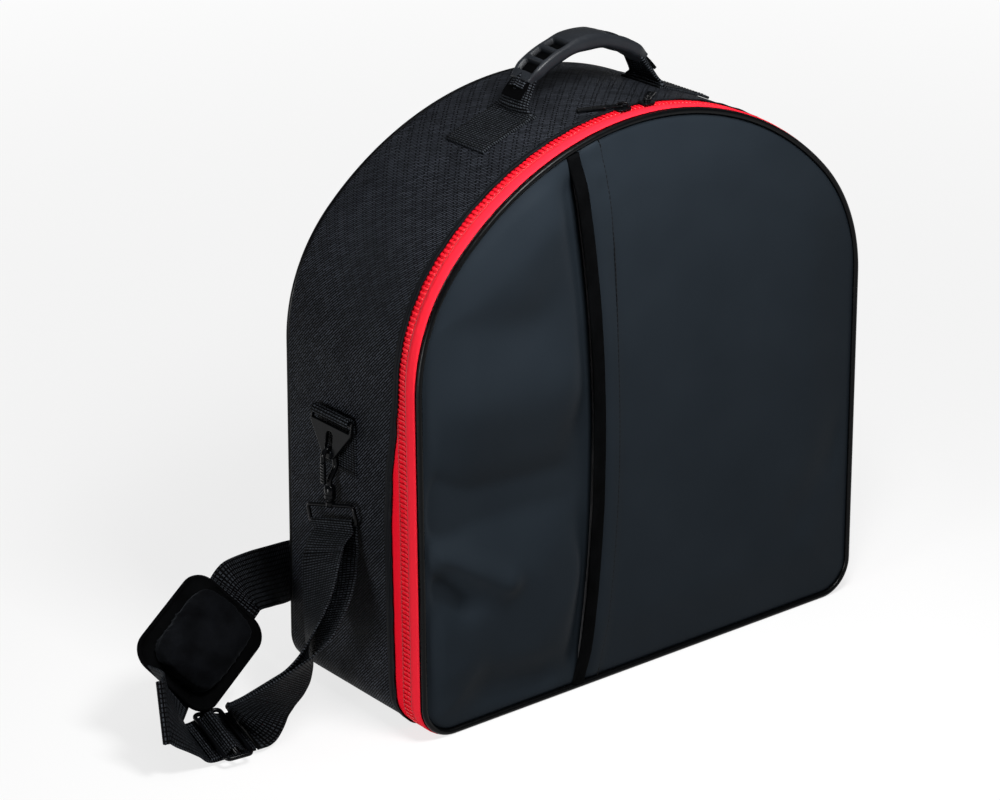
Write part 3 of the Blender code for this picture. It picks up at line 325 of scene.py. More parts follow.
# painted shade in the slots across the grip's back: colour and gloss taken down there
darkenWhere(gripRubber, "paintedPitShade", 0.05)
lacquer = smoothFinish("blackLacquer", (0.0016, 0.0018, 0.0022), 0.20, grain=(1.2, 0.00002), worn=1.8, gloss=0.09)
foamGrey = smoothFinish("foamGrey", (0.16, 0.16, 0.17), 0.9, grain=(1.4, 0.0002))
board = smoothFinish("baseBoard", (0.05, 0.05, 0.05), 0.6, grain=(0.8, 0.00005))
print("finishes made")


# making meshes
def meshObject(name, verts, faces, finish, uvs=None):
    mesh = bpy.data.meshes.new(name)
    mesh.from_pydata([tuple(v) for v in verts], [], faces)
    if uvs is not None:
        layer = mesh.uv_layers.new(name="cloth")
        layer.data.foreach_set("uv", [c for face in uvs for pair in face for c in pair])
    mesh.materials.append(finish)
    mesh.validate()
    return placed(name, softened(mesh))


def softened(mesh):
    mesh.polygons.foreach_set("use_smooth", [True] * len(mesh.polygons))
    return mesh


def placed(name, mesh):
    made = bpy.data.objects.new(name, mesh)
    scene.collection.objects.link(made)
    return made


def asMade(holder):
    # the mesh of an object with its modifiers applied
    return bpy.data.meshes.new_from_object(holder.evaluated_get(bpy.context.evaluated_depsgraph_get()))


def thicken(made, thickness, offset=-1.0):
    wall = made.modifiers.new("thickness", "SOLIDIFY")
    wall.thickness = thickness
    wall.offset = offset


def settleNormals(made):
    shape = bmesh.new()
    shape.from_mesh(made.data)
    bmesh.ops.recalc_face_normals(shape, faces=shape.faces)
    shape.to_mesh(made.data)
    shape.free()
    return made


def sheetOf(name, rows, finish, thickness=0.0, flip=False):
    # rows of pairs: a point, and its place on the cloth in metres
    columns = len(rows[0])
    verts = [point for row in rows for point, _ in row]
    flat = [place for row in rows for _, place in row]
    faces, uvs = [], []
    for i in range(len(rows) - 1):
        for j in range(columns - 1):
            face = [i * columns + j, i * columns + j + 1, (i + 1) * columns + j + 1, (i + 1) * columns + j]
            if flip:
                face.reverse()
            faces.append(face)
            uvs.append([flat[k] for k in face])
    made = meshObject(name, verts, faces, finish, uvs)
    if thickness:
        thicken(made, thickness)
    return made


def sweep(name, line, section, finish, closed=False, round=False):
    # line: centre, direction across and direction up of each station; section: a loop of (aside, rise)
    ring = section if callable(section) else (lambda share, loop=section: loop)
    count = len(line)
    first = ring(0.0)
    size = len(first)
    verts, alongs, travelled = [], [], 0.0
    for i, (centre, across, up) in enumerate(line):
        if i:
            travelled += (centre - line[i - 1][0]).length
        alongs.append(travelled)
        for aside, rise in ring(i / max(1, count - 1)):
            verts.append(centre + across * aside + up * rise)
    around = [0.0]
    for j in range(size):
        a, b = first[j], first[(j + 1) % size]
        around.append(around[-1] + math.hypot(b[0] - a[0], b[1] - a[1]))
    faces, uvs = [], []
    for i in range(count if closed else count - 1):
        k = (i + 1) % count
        end = alongs[k] if k else alongs[-1] + (line[0][0] - line[-1][0]).length
        for j in range(size):
            n = (j + 1) % size
            faces.append((i * size + j, i * size + n, k * size + n, k * size + j))
            low, high = (around[j], around[j + 1]) if round else (first[j][0], first[n][0])
            uvs.append(((alongs[i], low), (alongs[i], high), (end, high), (end, low)))
    if not closed:
        for base, turn in ((0, -1), ((count - 1) * size, 1)):
            faces.append(tuple(base + j for j in range(size))[::turn])
            uvs.append(tuple((alongs[0 if base == 0 else -1], first[j][0]) for j in range(size))[::turn])
    return settleNormals(meshObject(name, verts, faces, finish, uvs))


def circle(radius, count, squash=1.0):
    turns = [2 * math.pi * k / count for k in range(count)]
    return [(radius * math.cos(t), radius * squash * math.sin(t)) for t in turns]


def tapeSection(width, thickness, columns):
    # a flat band with rounded edges, its top row first
    half, edge = width / 2, thickness * 0.35
    xs = [half * (1 - 2 * k / columns) for k in range(columns + 1)]
    xs[0] -= edge
    xs[-1] += edge
    top = [(x, thickness / 2) for x in xs]
    bottom = [(x, -thickness / 2) for x in reversed(xs)]
    return top + [(-half, 0.0)] + bottom + [(half, 0.0)]


def smoothStep(low, high, value):
    # from 0 at low to 1 at high, also where low is the larger
    t = max(0.0, min(1.0, (value - low) / (high - low)))
    return t * t * (3 - 2 * t)


def hump(value, centre, width):
    return math.exp(-(((value - centre) / width) ** 2))


def byTable(table, value):
    # eased from pair to pair of a table
    for (a, low), (b, high) in zip(table, table[1:]):
        if value <= b:
            share = max(0.0, (value - a) / (b - a))
            return low + (high - low) * share * share * (3 - 2 * share)
    return table[-1][1]


def wander(x, y, z, scale):
    return noise.noise(Vector((x, y, z)) * scale)


# stitches, teeth and other things that repeat along a line
def repeatTree():
    tree = bpy.data.node_groups.new("repeatAlongLine", "GeometryNodeTree")
    face = tree.interface
    kinds = {"Line": "Geometry", "Piece": "Object", "Spacing": "Float", "Start": "Float", "Finish": "Material"}
    for name, kind in kinds.items():
        face.new_socket(name, in_out="INPUT", socket_type="NodeSocket" + kind)
    face.new_socket("Result", in_out="OUTPUT", socket_type="NodeSocketGeometry")
    given = addNode(tree, "NodeGroupInput").outputs
    beyond = 1000.0     # past the end of every line
    curve = addNode(tree, "GeometryNodeMeshToCurve", {"Mesh": given["Line"]})
    cut = {"Curve": curve.outputs[0], 4: given["Start"], 5: beyond}
    trim = addNode(tree, "GeometryNodeTrimCurve", cut, mode="LENGTH")
    spaced = {"Curve": trim.outputs[0], "Length": given["Spacing"]}
    even = addNode(tree, "GeometryNodeResampleCurve", spaced, mode="LENGTH")
    run = addNode(tree, "GeometryNodeInputTangent").outputs[0]
    outward = addNode(tree, "GeometryNodeInputNamedAttribute", {"Name": "outward"}, data_type="FLOAT_VECTOR").outputs[0]
    turn = addNode(tree, "FunctionNodeAxesToRotation", {0: run, 1: outward}, primary_axis="X", secondary_axis="Z")
    piece = addNode(tree, "GeometryNodeObjectInfo", {"Object": given["Piece"]}, transform_space="ORIGINAL")
    copies = {"Points": even.outputs[0], "Instance": piece.outputs["Geometry"], "Rotation": turn.outputs[0]}
    put = addNode(tree, "GeometryNodeInstanceOnPoints", copies)
    real = addNode(tree, "GeometryNodeRealizeInstances", {0: put.outputs[0]})
    coated = addNode(tree, "GeometryNodeSetMaterial", {"Geometry": real.outputs[0], "Material": given["Finish"]})
    out = addNode(tree, "NodeGroupOutput")
    tree.links.new(coated.outputs[0], out.inputs[0])
    return tree


repeater = repeatTree()


def lineObject(name, runs):
    # runs of (point, outward) pairs, as one wire mesh
    verts, edges, outs = [], [], []
    for run in runs:
        for k, (place, out) in enumerate(run):
            if k:
                edges.append((len(verts) - 1, len(verts)))
            verts.append(tuple(place))
            outs.append(out)
    mesh = bpy.data.meshes.new(name)
    mesh.from_pydata(verts, edges, [])
    layer = mesh.attributes.new("outward", "FLOAT_VECTOR", "POINT")
    layer.data.foreach_set("vector", [c for out in outs for c in out])
    return placed(name, mesh)


def repeatAlong(name, runs, piece, spacing, finish, start=0.0):
    holder = lineObject(name + "Line", runs)
    grow = holder.modifiers.new("repeat", "NODES")
    grow.node_group = repeater
    values = {"Piece": piece, "Spacing": spacing, "Start": start, "Finish": finish}
    for item in repeater.interface.items_tree:
        if item.in_out == "INPUT" and item.name in values:
            grow[item.identifier] = values[item.name]
    bpy.context.view_layer.update()
    mesh = asMade(holder)
    bpy.data.objects.remove(holder)
    return placed(name, softened(mesh))


def straightRun(start, end, count, out):
    return [(start.lerp(end, n / count), out) for n in range(count + 1)]


def rollTemplate(name, length, radius, squash=1.0):
    # a short roll of thread or a tooth, lying along X
    sides = 6
    verts, faces = [], []
    stops = [(-0.5, 0.35), (-0.36, 0.9), (0.0, 1.0), (0.36, 0.9), (0.5, 0.35)]
    for x, wide in stops:
        verts += [(x * length, y, z) for y, z in circle(radius * wide, sides, squash)]
    for i in range(len(stops) - 1):
        for k in range(sides):
            n = (k + 1) % sides
            faces.append((i * sides + k, i * sides + n, (i + 1) * sides + n, (i + 1) * sides + k))
    faces.append(tuple(range(sides))[::-1])
    faces.append(tuple((len(stops) - 1) * sides + k for k in range(sides)))
    made = meshObject(name, verts, faces, threadBlack)
    made.hide_render = True
    return made


stitch = rollTemplate("stitchPiece", 0.0027, 0.00034, 0.8)

# the bag's outline
bag = {
    "width": 0.450,
    "height": 0.463,
    "front": -0.090,
    "back": 0.088,
    "lean": 0.013,
    "archRise": 0.179,
    "shoulderRadius": 0.145,
    "cornerRadius": 0.030,
    "piping": 0.0023,
    "step": 0.004,
}
halfWidth = bag["width"] / 2
springZ = bag["height"] - bag["archRise"]
shoulderX = halfWidth - bag["shoulderRadius"]
spare = bag["archRise"] - bag["shoulderRadius"]
topRadius = (halfWidth**2 + bag["archRise"] ** 2 - bag["width"] * bag["shoulderRadius"]) / (2 * spare)
topZ = bag["height"] - topRadius
topAngle = math.atan2(shoulderX, springZ - topZ)


def archLine(step, closed=False):
    # points and outward directions, from the lower right corner over the top to the lower left one
    quarter, corner, line = math.pi / 2, bag["cornerRadius"], []

    def bend(x, z, radius, start, stop):
        count = max(3, round(radius * abs(stop - start) / step))
        for k in range(count):
            a = start + (stop - start) * k / count
            out = Vector((math.cos(a), 0.0, math.sin(a)))
            line.append((Vector((x, 0.0, z)) + out * radius, out))

    def straight(start, stop, out):
        count = max(2, round((stop - start).length / step))
        for k in range(count):
            line.append((start.lerp(stop, k / count), out))

    bend(halfWidth - corner, corner, corner, -quarter, 0.0)
    straight(Vector((halfWidth, 0.0, corner)), Vector((halfWidth, 0.0, springZ)), Vector((1.0, 0.0, 0.0)))
    bend(shoulderX, springZ, bag["shoulderRadius"], 0.0, quarter - topAngle)
    bend(0.0, topZ, topRadius, quarter - topAngle, quarter + topAngle)
    bend(-shoulderX, springZ, bag["shoulderRadius"], quarter + topAngle, 2 * quarter)
    straight(Vector((-halfWidth, 0.0, springZ)), Vector((-halfWidth, 0.0, corner)), Vector((-1.0, 0.0, 0.0)))
    bend(corner - halfWidth, corner, corner, 2 * quarter, 3 * quarter)
    end = Vector((corner - halfWidth, 0.0, 0.0))
    if closed:
        straight(end, Vector((halfWidth - corner, 0.0, 0.0)), Vector((0.0, 0.0, -1.0)))
    else:
        line.append((end, Vector((0.0, 0.0, -1.0))))
    return line


def leaning(y, z):
    return y - bag["lean"] * z / bag["height"]


def archSpan(x, inset):
    # lowest and highest point of the outline at a distance from the middle
    x = min(abs(x), halfWidth - inset)
    low = inset
    if x > halfWidth - bag["cornerRadius"]:
        reach = bag["cornerRadius"] - inset
        low = bag["cornerRadius"] - math.sqrt(max(0.0, reach**2 - (x - halfWidth + bag["cornerRadius"]) ** 2))
    turnX = (topRadius - inset) * math.sin(topAngle)
    if x <= turnX:
        return low, topZ + math.sqrt((topRadius - inset) ** 2 - x**2)
    return low, springZ + math.sqrt(max(0.0, (bag["shoulderRadius"] - inset) ** 2 - (x - shoulderX) ** 2))


def runLengths(line):
    lengths = [0.0]
    for (a, _), (b, _) in zip(line, line[1:]):
        lengths.append(lengths[-1] + (b - a).length)
    return lengths


def aboveFloor(point, least):
    point.z = max(point.z, least)
    return point


# gusset, base and back
gusset = {
    "end": 0.0831, "thickness": 0.0010, "columns": 34, "gather": 0.05, "underHem": 0.0012, "floorReach": 0.03,
    "pull": 0.0026, "pullReach": 0.010, "swell": 0.0004, "swellReach": 0.030, "drift": 0.0006, "driftReach": 0.02,
    "pucker": 0.0004, "endPucker": (0.012, 310), "hemPucker": (0.010, 240), "most": 0.0009,
}
hem = {
    "thickness": 0.0009,
    "proud": 0.0010,
    "edge": [
        (0.0, -0.0605), (0.05, -0.0568), (0.17, -0.0562), (0.21, -0.0590),
        (0.255, -0.0655), (0.285, -0.0690), (0.47, -0.0690),
    ],
    "width": [(0.0, 0.0095), (0.20, 0.0095), (0.30, 0.0072), (0.42, 0.0058), (0.47, 0.0050)],
    "stops": (0.0, 0.02, 0.07, 0.14, 0.22, 0.30, 0.42, 0.55, 0.68, 0.80, 0.90, 0.96, 1.0),
    "stitchIn": (0.30, 0.80),
    "stitchSink": 0.0006,
    "wave": 0.0003,
    "dive": 0.0016,
    "least": 0.0004,
}


def hemEdge(along, z):
    return byTable(hem["edge"], z) + 0.0006 * wander(along, 3, 0, 40)


def makeGusset():
    line = archLine(bag["step"])
    rows = []
    for (place, out), along in zip(line, runLengths(line)):
        start = hemEdge(along, place.z) + byTable(hem["width"], place.z) - gusset["underHem"]
        end = leaning(gusset["end"], place.z)
        nearFloor = smoothStep(0.0, gusset["floorReach"], place.z)
        row = []
        for k in range(gusset["columns"] + 1):
            share = k / gusset["columns"]
            share -= gusset["gather"] * math.sin(2 * math.pi * share)
            y = start + (end - start) * share
            fromStart, toEnd = y - start, end - y
            drop = gusset["pull"] * math.exp(-toEnd / gusset["pullReach"])
            drop -= gusset["swell"] * smoothStep(0.0, gusset["swellReach"], fromStart)
            reach, waves = gusset["endPucker"]
            drop += gusset["pucker"] * math.exp(-toEnd / reach) * math.sin(along * waves + 3 * wander(along, 0, 0, 22))
            reach, waves = gusset["hemPucker"]
            drop += gusset["pucker"] * 0.5 * math.exp(-fromStart / reach) * math.sin(along * waves + 1.3)
            loose = smoothStep(0.0, gusset["driftReach"], fromStart)
            drop += gusset["drift"] * wander(place.x, y * 1.6, place.z, 9.0) * loose
            drop = max(-gusset["most"], min(drop * nearFloor, gusset["most"]))
            row.append((place + sideways * y - out * drop, (along, y)))
        rows.append(row)
    made = sheetOf("gussetCloth", rows, nylon, gusset["thickness"], flip=True)
    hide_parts("gusset_shell")
    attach(made, "bag")


def makeHem():
    # the gusset's hemmed edge over the zip's tape, with its two rows of stitches
    line = archLine(bag["step"])
    rows, seams = [], [[], []]
    for (place, out), along in zip(line, runLengths(line)):
        edge = hemEdge(along, place.z)
        width = byTable(hem["width"], place.z)
        row = []
        for share in hem["stops"]:
            y = edge + width * share
            rise = hem["proud"] + hem["wave"] * math.sin(math.pi * min(1.0, share * 5))
            rise -= hem["dive"] * smoothStep(0.86, 1.0, share)
            for inward in hem["stitchIn"]:
                rise -= hem["stitchSink"] * hump(share, inward, 0.10)
            rise += hem["wave"] * math.sin(along * 290) * (1 - share)
            row.append((aboveFloor(place + sideways * y + out * rise, hem["least"]), (along, y)))
        rows.append(row)
        for seam, inward in zip(seams, hem["stitchIn"]):
            y = edge + inward * width
            seam.append((place + sideways * y + out * (hem["proud"] + 0.0002), out))
    made = sheetOf("gussetHem", rows, seamTape, hem["thickness"], flip=True)
    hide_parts("zip_seam_tape")
    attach(made, "bag")
    sewn = repeatAlong("gussetHemStitches", seams, stitch, 0.0036, threadBlack)
    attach(sewn, "bag")


def pipingPath(y, leans, step):
    line = []
    inset = bag["piping"]
    for place, out in archLine(step, closed=True):
        centre = place - out * inset
        depth = leaning(y, centre.z) if leans else y
        line.append((centre + sideways * depth, sideways, out))
    return line


def makePiping(name, y, leans, node, body):
    # a round cord in vinyl
    line = pipingPath(y, leans, 0.0035)
    made = sweep(name, line, circle(bag["piping"], 14), pipingVinyl, closed=True, round=True)
    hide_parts(node)
    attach(made, body)


back = {
    "crown": 0.0035, "crownReach": 0.05, "edge": 0.0012, "edgeReach": 0.004, "drift": 0.0010, "driftReach": 0.03,
    "rows": 60, "columns": 44, "y": 0.0863, "inset": 0.0046, "thickness": 0.0012,
}


def panelColumns(xLeft, xRight, count, gatherLeft, gatherRight):
    # places that crowd towards a rounded side
    xs = []
    for k in range(count + 1):
        t = k / count
        if gatherLeft and gatherRight:
            t = 0.5 - 0.5 * math.cos(math.pi * t)
        elif gatherRight:
            t = math.sin(t * math.pi / 2)
        elif gatherLeft:
            t = 1 - math.cos(t * math.pi / 2)
        xs.append(xLeft + (xRight - xLeft) * t)
    return xs


def makeBack():
    inset = back["inset"]
    rows = []
    for x in panelColumns(inset - halfWidth, halfWidth - inset, back["columns"], True, True):
        low, high = archSpan(x, inset)
        row = []
        for k in range(back["rows"] + 1):
            share = 0.5 - 0.5 * math.cos(math.pi * k / back["rows"])
            z = low + (high - low) * share
            edge = min(halfWidth - inset - abs(x), z - low, high - z)
            swell = back["crown"] * smoothStep(0.0, back["crownReach"], edge)
            swell -= back["edge"] * math.exp(-max(edge, 0.0) / back["edgeReach"])
            swell += back["drift"] * wander(x, 0.0, z, 7.0) * smoothStep(0.0, back["driftReach"], edge)
            row.append((Vector((x, leaning(back["y"], z) + swell, z)), (x, z)))
        rows.append(row)
    made = sheetOf("backCloth", rows, nylon, back["thickness"])
    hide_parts("back_panel")
    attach(made, "bag")


# the lid
lid = {
    "inset": 0.0040, "y": -0.0905, "thickness": 0.0012, "crown": 0.0042, "rows": 90, "columns": 84,
    "pocketColumns": 56, "edge": 0.0016, "edgeReach": 0.0035,
}
binding = {
    "width": 0.0115, "foot": -0.072, "top": -0.080, "bow": 0.0230, "thickness": 0.0034, "y": -0.0938,
    "span": (0.0038, 0.4455), "steps": 110,
}
flap = {"width": 0.0140, "topExtra": 0.0065, "proud": 0.0013}
lidSeam = {"span": (0.0062, 0.4537), "steps": 119, "spacing": 0.0042, "stitch": (0.0036, 0.00055, 0.7)}


def bindingX(z):
    share = z / bag["height"]
    return binding["foot"] + (binding["top"] - binding["foot"]) * share + 4 * binding["bow"] * share * (1 - share)


def seamX(z):
    # the topstitched line to the right of the bound edge, which parts from it a little at the top
    return bindingX(z) + binding["width"] / 2 + flap["width"] + flap["topExtra"] * smoothStep(0.25, 0.46, z)


def foldHeight(x, z, fold):
    x0, z0, x1, z1, wide, high = fold
    run = Vector((x1 - x0, z1 - z0))
    here = Vector((x - x0, z - z0))
    share = max(0.0, min(1.0, here.dot(run) / run.length_squared))
    return high * math.exp(-(((here - run * share).length / wide) ** 2))


def lidEdgeGap(x, z):
    low, high = archSpan(x, lid["inset"])
    return max(0.0, min(halfWidth - lid["inset"] - abs(x), z - low, high - z))


def edgedSwell(gap, crown, reach):
    # a bulge that falls to the edge, and the edge drawn in by the piping
    return crown * smoothStep(0.0, reach, gap) - lid["edge"] * math.exp(-gap / lid["edgeReach"])


def rightDepth(x, z):
    # how far the right-hand panel stands out from the piping
    gap = lidEdgeGap(x, z)
    swell = edgedSwell(gap, lid["crown"], 0.055)
    fromBinding = x - bindingX(z) - binding["width"] / 2
    toSeam = x - seamX(z)
    # the flap stands proud up to the seam, and the thread draws a groove
    swell += flap["proud"] * (1 - smoothStep(-0.0005, 0.0012, toSeam)) * smoothStep(0.0, 0.004, gap)
    swell -= 0.0011 * hump(toSeam, 0.0002, 0.0011) * smoothStep(0.0, 0.01, gap)
    # the cloth dips beside the bound edge, most near its top
    swell -= 0.0016 * math.exp(-max(fromBinding, 0.0) / 0.003)
    swell -= 0.0022 * hump(fromBinding, 0.012, 0.006) * hump(z, 0.405, 0.020)
    swell += 0.0009 * wander(x, 1.0, z, 6.0) * smoothStep(0.0, 0.04, gap)
    swell += foldHeight(x, z, (0.165, 0.085, 0.210, 0.140, 0.020, -0.0022)) * smoothStep(0.0, 0.02, gap)
    pucker = math.sin(z * 240 + 4 * wander(0, 2, z, 20)) * hump(toSeam, -0.004, 0.005)
    return swell + 0.0005 * pucker * smoothStep(0.30, 0.42, z)


# each fold: from and to on the panel, half width, height
pocket = {
    "crown": 0.0058,
    "foot": -0.0024,
    "dipReach": [
        (0.0, 0.012), (0.07, 0.012), (0.11, 0.009), (0.16, 0.020), (0.21, 0.024),
        (0.26, 0.012), (0.33, 0.010), (0.40, 0.014), (0.46, 0.009),
    ],
    "folds": [
        (-0.135, 0.365, -0.105, 0.395, 0.034, 0.0060),
        (-0.175, 0.330, -0.120, 0.322, 0.016, -0.0020),
        (-0.180, 0.272, -0.100, 0.266, 0.034, 0.0086),
        (-0.205, 0.188, -0.090, 0.180, 0.027, -0.0110),
        (-0.218, 0.160, -0.150, 0.120, 0.012, 0.0085),
        (-0.204, 0.126, -0.186, 0.110, 0.014, -0.0085),
        (-0.206, 0.085, -0.196, 0.060, 0.022, 0.0050),
        (-0.120, 0.112, -0.098, 0.085, 0.034, 0.0080),
        (-0.160, 0.030, -0.110, 0.022, 0.020, -0.0050),
    ],
}


def leftDepth(x, z):
    # the pocket's front bulges, is folded here and there, and dives under the bound edge
    gap = lidEdgeGap(x, z)
    swell = edgedSwell(gap, pocket["crown"], 0.050)
    for crease in pocket["folds"]:
        swell += foldHeight(x, z, crease) * smoothStep(0.0, 0.016, gap)
    toBinding = max(0.0, bindingX(z) - binding["width"] / 2 - x)
    dive = math.exp(-((toBinding / byTable(pocket["dipReach"], z)) ** 2)) * smoothStep(0.0, 0.03, gap)
    swell += (pocket["foot"] - swell) * dive
    swell += 0.0010 * wander(x, 5.0, z, 11.0) * smoothStep(0.0, 0.04, gap)
    return max(swell, pocket["foot"])


def makeLidPanel(name, left, right, count, depth, node, gatherLeft, gatherRight):
    # left and right give the panel's sides at a height
    rows = []
    for t in panelColumns(0.0, 1.0, count, gatherLeft, gatherRight):
        row = []
        for k in range(lid["rows"] + 1):
            share = 0.5 - 0.5 * math.cos(math.pi * k / lid["rows"])
            share = 0.6 * k / lid["rows"] + 0.4 * share
            z = bag["height"] * share
            # the sides depend on the height and the height on the place between them, so it's worked out in rounds
            for _ in range(6):
                x = left(z) + (right(z) - left(z)) * t
                low, high = archSpan(x, lid["inset"])
                z = low + (high - low) * share
            row.append((Vector((x, lid["y"] - depth(x, z), z)), (x, z)))
        rows.append(row)
    made = sheetOf(name, rows, leatherette, lid["thickness"], flip=True)
    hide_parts(node)
    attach(made, "lid")


def makeBinding():
    outward = Vector((0.0, -1.0, 0.0))
    low, high = binding["span"]
    steps = binding["steps"]
    line = []
    for k in range(steps + 1):
        z = low + (high - low) * k / steps
        gap = min(z - low, high - z)
        y = lid["y"] + (binding["y"] - lid["y"]) * smoothStep(-0.002, 0.03, gap)
        y -= lid["crown"] * 0.35 * smoothStep(0.0, 0.05, gap)
        line.append(Vector((bindingX(z) + 0.0006 * wander(0, 0, z, 30), y, z)))
    stations = []
    for k, place in enumerate(line):
        run = (line[min(k + 1, steps)] - line[max(k - 1, 0)]).normalized()
        across = run.cross(outward).normalized()
        stations.append((place, across, across.cross(run).normalized()))
    # a rounded back and a nearly flat underside
    half, thick, turns = binding["width"] / 2, binding["thickness"], 12
    section = [(half, 0.0)]
    for k in range(1, turns):
        a = math.pi * k / turns
        section.append((half * math.cos(a), thick * 0.55 * math.sin(a) ** 0.7))
    section += [(-half, 0.0), (-half * 0.9, -thick * 0.4), (0.0, -thick * 0.5), (half * 0.9, -thick * 0.4)]
    made = sweep("pocketBinding", stations, section, knit)
    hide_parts("pocket_binding")
    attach(made, "lid")


def makeLid():
    side = halfWidth - lid["inset"]
    under = binding["width"] / 2 * 0.4      # how far the panels reach under the bound edge

    def rightOfBinding(z):
        return bindingX(z) + under

    def leftOfBinding(z):
        return bindingX(z) - under

    columns = lid["columns"]
    makeLidPanel("lidCloth", rightOfBinding, lambda z: side, columns, rightDepth, "lid_skin", False, True)
    columns = lid["pocketColumns"]
    makeLidPanel("pocketCloth", lambda z: -side, leftOfBinding, columns, leftDepth, "pocket_front", True, False)
    makeBinding()
    seam = []
    low, high = lidSeam["span"]
    for k in range(lidSeam["steps"] + 1):
        z = low + (high - low) * k / lidSeam["steps"]
        x = seamX(z)
        z = min(z, archSpan(x, lid["inset"])[1] - 0.002)
        seam.append((Vector((x + 0.0003, lid["y"] - rightDepth(x, z) - 0.0006, z)), Vector((0.0, -1.0, 0.0))))
    thread = rollTemplate("threadPiece", *lidSeam["stitch"])
    sewn = repeatAlong("lidStitches", [seam], thread, lidSeam["spacing"], threadBlack)
    bpy.data.objects.remove(thread)
    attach(sewn, "lid")


# the zip round the lid; each tape is given by places across it and heights above the wall
zipBand = {
    "lidTape": [
        (-0.0878, -0.0002), (-0.0850, 0.0002), (-0.0810, 0.0003), (-0.0780, 0.0001),
        (-0.0773, -0.0011), (-0.0740, -0.0011), (-0.0709, -0.0011),
    ],
    "bodyTape": [
        (-0.0707, -0.0011), (-0.0690, -0.0011), (-0.0662, -0.0011), (-0.0656, -0.0003),
        (-0.0620, -0.0003), (-0.0575, -0.0006), (-0.0535, -0.0006),
    ],
    "thickness": 0.0008, "y": -0.0718, "leastTape": 0.0002, "leastTeeth": 0.0004,
    "pitch": 0.0040, "tooth": 0.0088, "toothWidth": 0.00072, "middle": -0.0708, "shift": 0.0003, "sunk": 0.0002,
    "cords": (-0.0762, -0.0660), "cordRadius": 0.0008, "cordRise": -0.0004,
}


def bandAlongArch(name, profile, finish):
    line = archLine(bag["step"])
    rows = []
    for (place, out), along in zip(line, runLengths(line)):
        row = [(place + sideways * y + out * rise, (along, y)) for y, rise in profile]
        for point, _ in row:
            aboveFloor(point, zipBand["leastTape"])
        rows.append(row)
    return sheetOf(name, rows, finish, zipBand["thickness"], flip=True)


def archRun(y, rise):
    run = []
    for place, out in archLine(bag["step"]):
        run.append((aboveFloor(place + sideways * y + out * rise, zipBand["leastTeeth"]), out))
    return run


def makeZip():
    tape = bandAlongArch("zipTapeLid", zipBand["lidTape"], tapeRedLight)
    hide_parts("zip_tape_lid")
    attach(tape, "lid")
    tape = bandAlongArch("zipTapeBody", zipBand["bodyTape"], tapeRed)
    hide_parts("zip_tape_body")
    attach(tape, "bag")
    # teeth lie across the zip, and those of the two sides take turns
    tooth = rollTemplate("toothPiece", zipBand["tooth"], zipBand["toothWidth"])
    for vertex in tooth.data.vertices:
        vertex.co = (vertex.co.y, vertex.co.x, vertex.co.z * 1.3)
    sides = (
        ("zipTeethLid", -1, "lid", "zip_coil_lid", 0.0),
        ("zipTeethBody", 1, "bag", "zip_coil_body", zipBand["pitch"] / 2),
    )
    for (name, side, body, node, start), cordY in zip(sides, zipBand["cords"]):
        y = zipBand["middle"] + side * zipBand["shift"]
        teeth = repeatAlong(name, [archRun(y, zipBand["sunk"])], tooth, zipBand["pitch"], teethRed, start)
        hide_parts(node)
        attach(teeth, body)
        line = [(place, sideways, out) for place, out in archRun(cordY, zipBand["cordRise"])]
        cord = sweep(name + "Cord", line, circle(zipBand["cordRadius"], 8), cordRed, round=True)
        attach(cord, body)
    bpy.data.objects.remove(tooth)


# webbing, wire, plates and turned pieces
def stripAlong(name, centres, across, width, thickness, columns):
    # webbing laid along a list of points, with one direction across
    line = []
    for k, centre in enumerate(centres):
        run = (centres[min(k + 1, len(centres) - 1)] - centres[max(k - 1, 0)]).normalized()
        side = (across - run * across.dot(run)).normalized()
        line.append((centre, side, run.cross(side).normalized()))
    return sweep(name, line, tapeSection(width, thickness, columns), webbing), line


def wire(name, points, radius, closed=False, sides=10, taper=None):
    line = []
    count = len(points)
    guide = None
    for k, place in enumerate(points):
        ahead = points[(k + 1) % count] if closed or k + 1 < count else place
        behind = points[k - 1] if closed or k else place
        run = (ahead - behind).normalized()
        if guide is None:
            guide = run.orthogonal().normalized()
        guide = (guide - run * guide.dot(run)).normalized()
        line.append((place, guide, run.cross(guide).normalized()))
    if taper is None:
        return sweep(name, line, circle(radius, sides), lacquer, closed, round=True)
    return sweep(name, line, lambda share: circle(radius * taper(share), sides), lacquer, closed, round=True)


def between(p, q, r, s, t):
    # from q to r, on a Catmull-Rom curve
    return q + ((r - p) * t + (2 * p - 5 * q + 4 * r - s) * t * t + (3 * q - p - 3 * r + s) * t**3) / 2


def smoothRows(rows, steps):
    padded = [rows[0], *rows, rows[-1]]
    made = []
    for span in zip(padded, padded[1:], padded[2:], padded[3:]):
        made += [[between(*four, k / steps) for four in zip(*span)] for k in range(steps)]
    made.append(list(rows[-1]))
    return made


def smoothCurve(points, steps):
    return [Vector(row) for row in smoothRows(points, steps)]


def joined(name, parts):
    shape = bmesh.new()
    mesh = bpy.data.meshes.new(name)
    for part in parts:
        shape.from_mesh(part.data)
    shape.to_mesh(mesh)
    shape.free()
    mesh.materials.append(parts[0].data.materials[0])
    for part in parts:
        bpy.data.objects.remove(part)
    return placed(name, mesh)


def roundedLoop(halfX, halfY, radius, steps=4, centreX=0.0, centreY=0.0):
    loop = []
    for k, (sx, sy) in enumerate(((1, 1), (-1, 1), (-1, -1), (1, -1))):
        middleX, middleY = centreX + sx * (halfX - radius), centreY + sy * (halfY - radius)
        for n in range(steps + 1):
            a = (k + n / steps) * math.pi / 2
            loop.append((middleX + radius * math.cos(a), middleY + radius * math.sin(a)))
    return loop


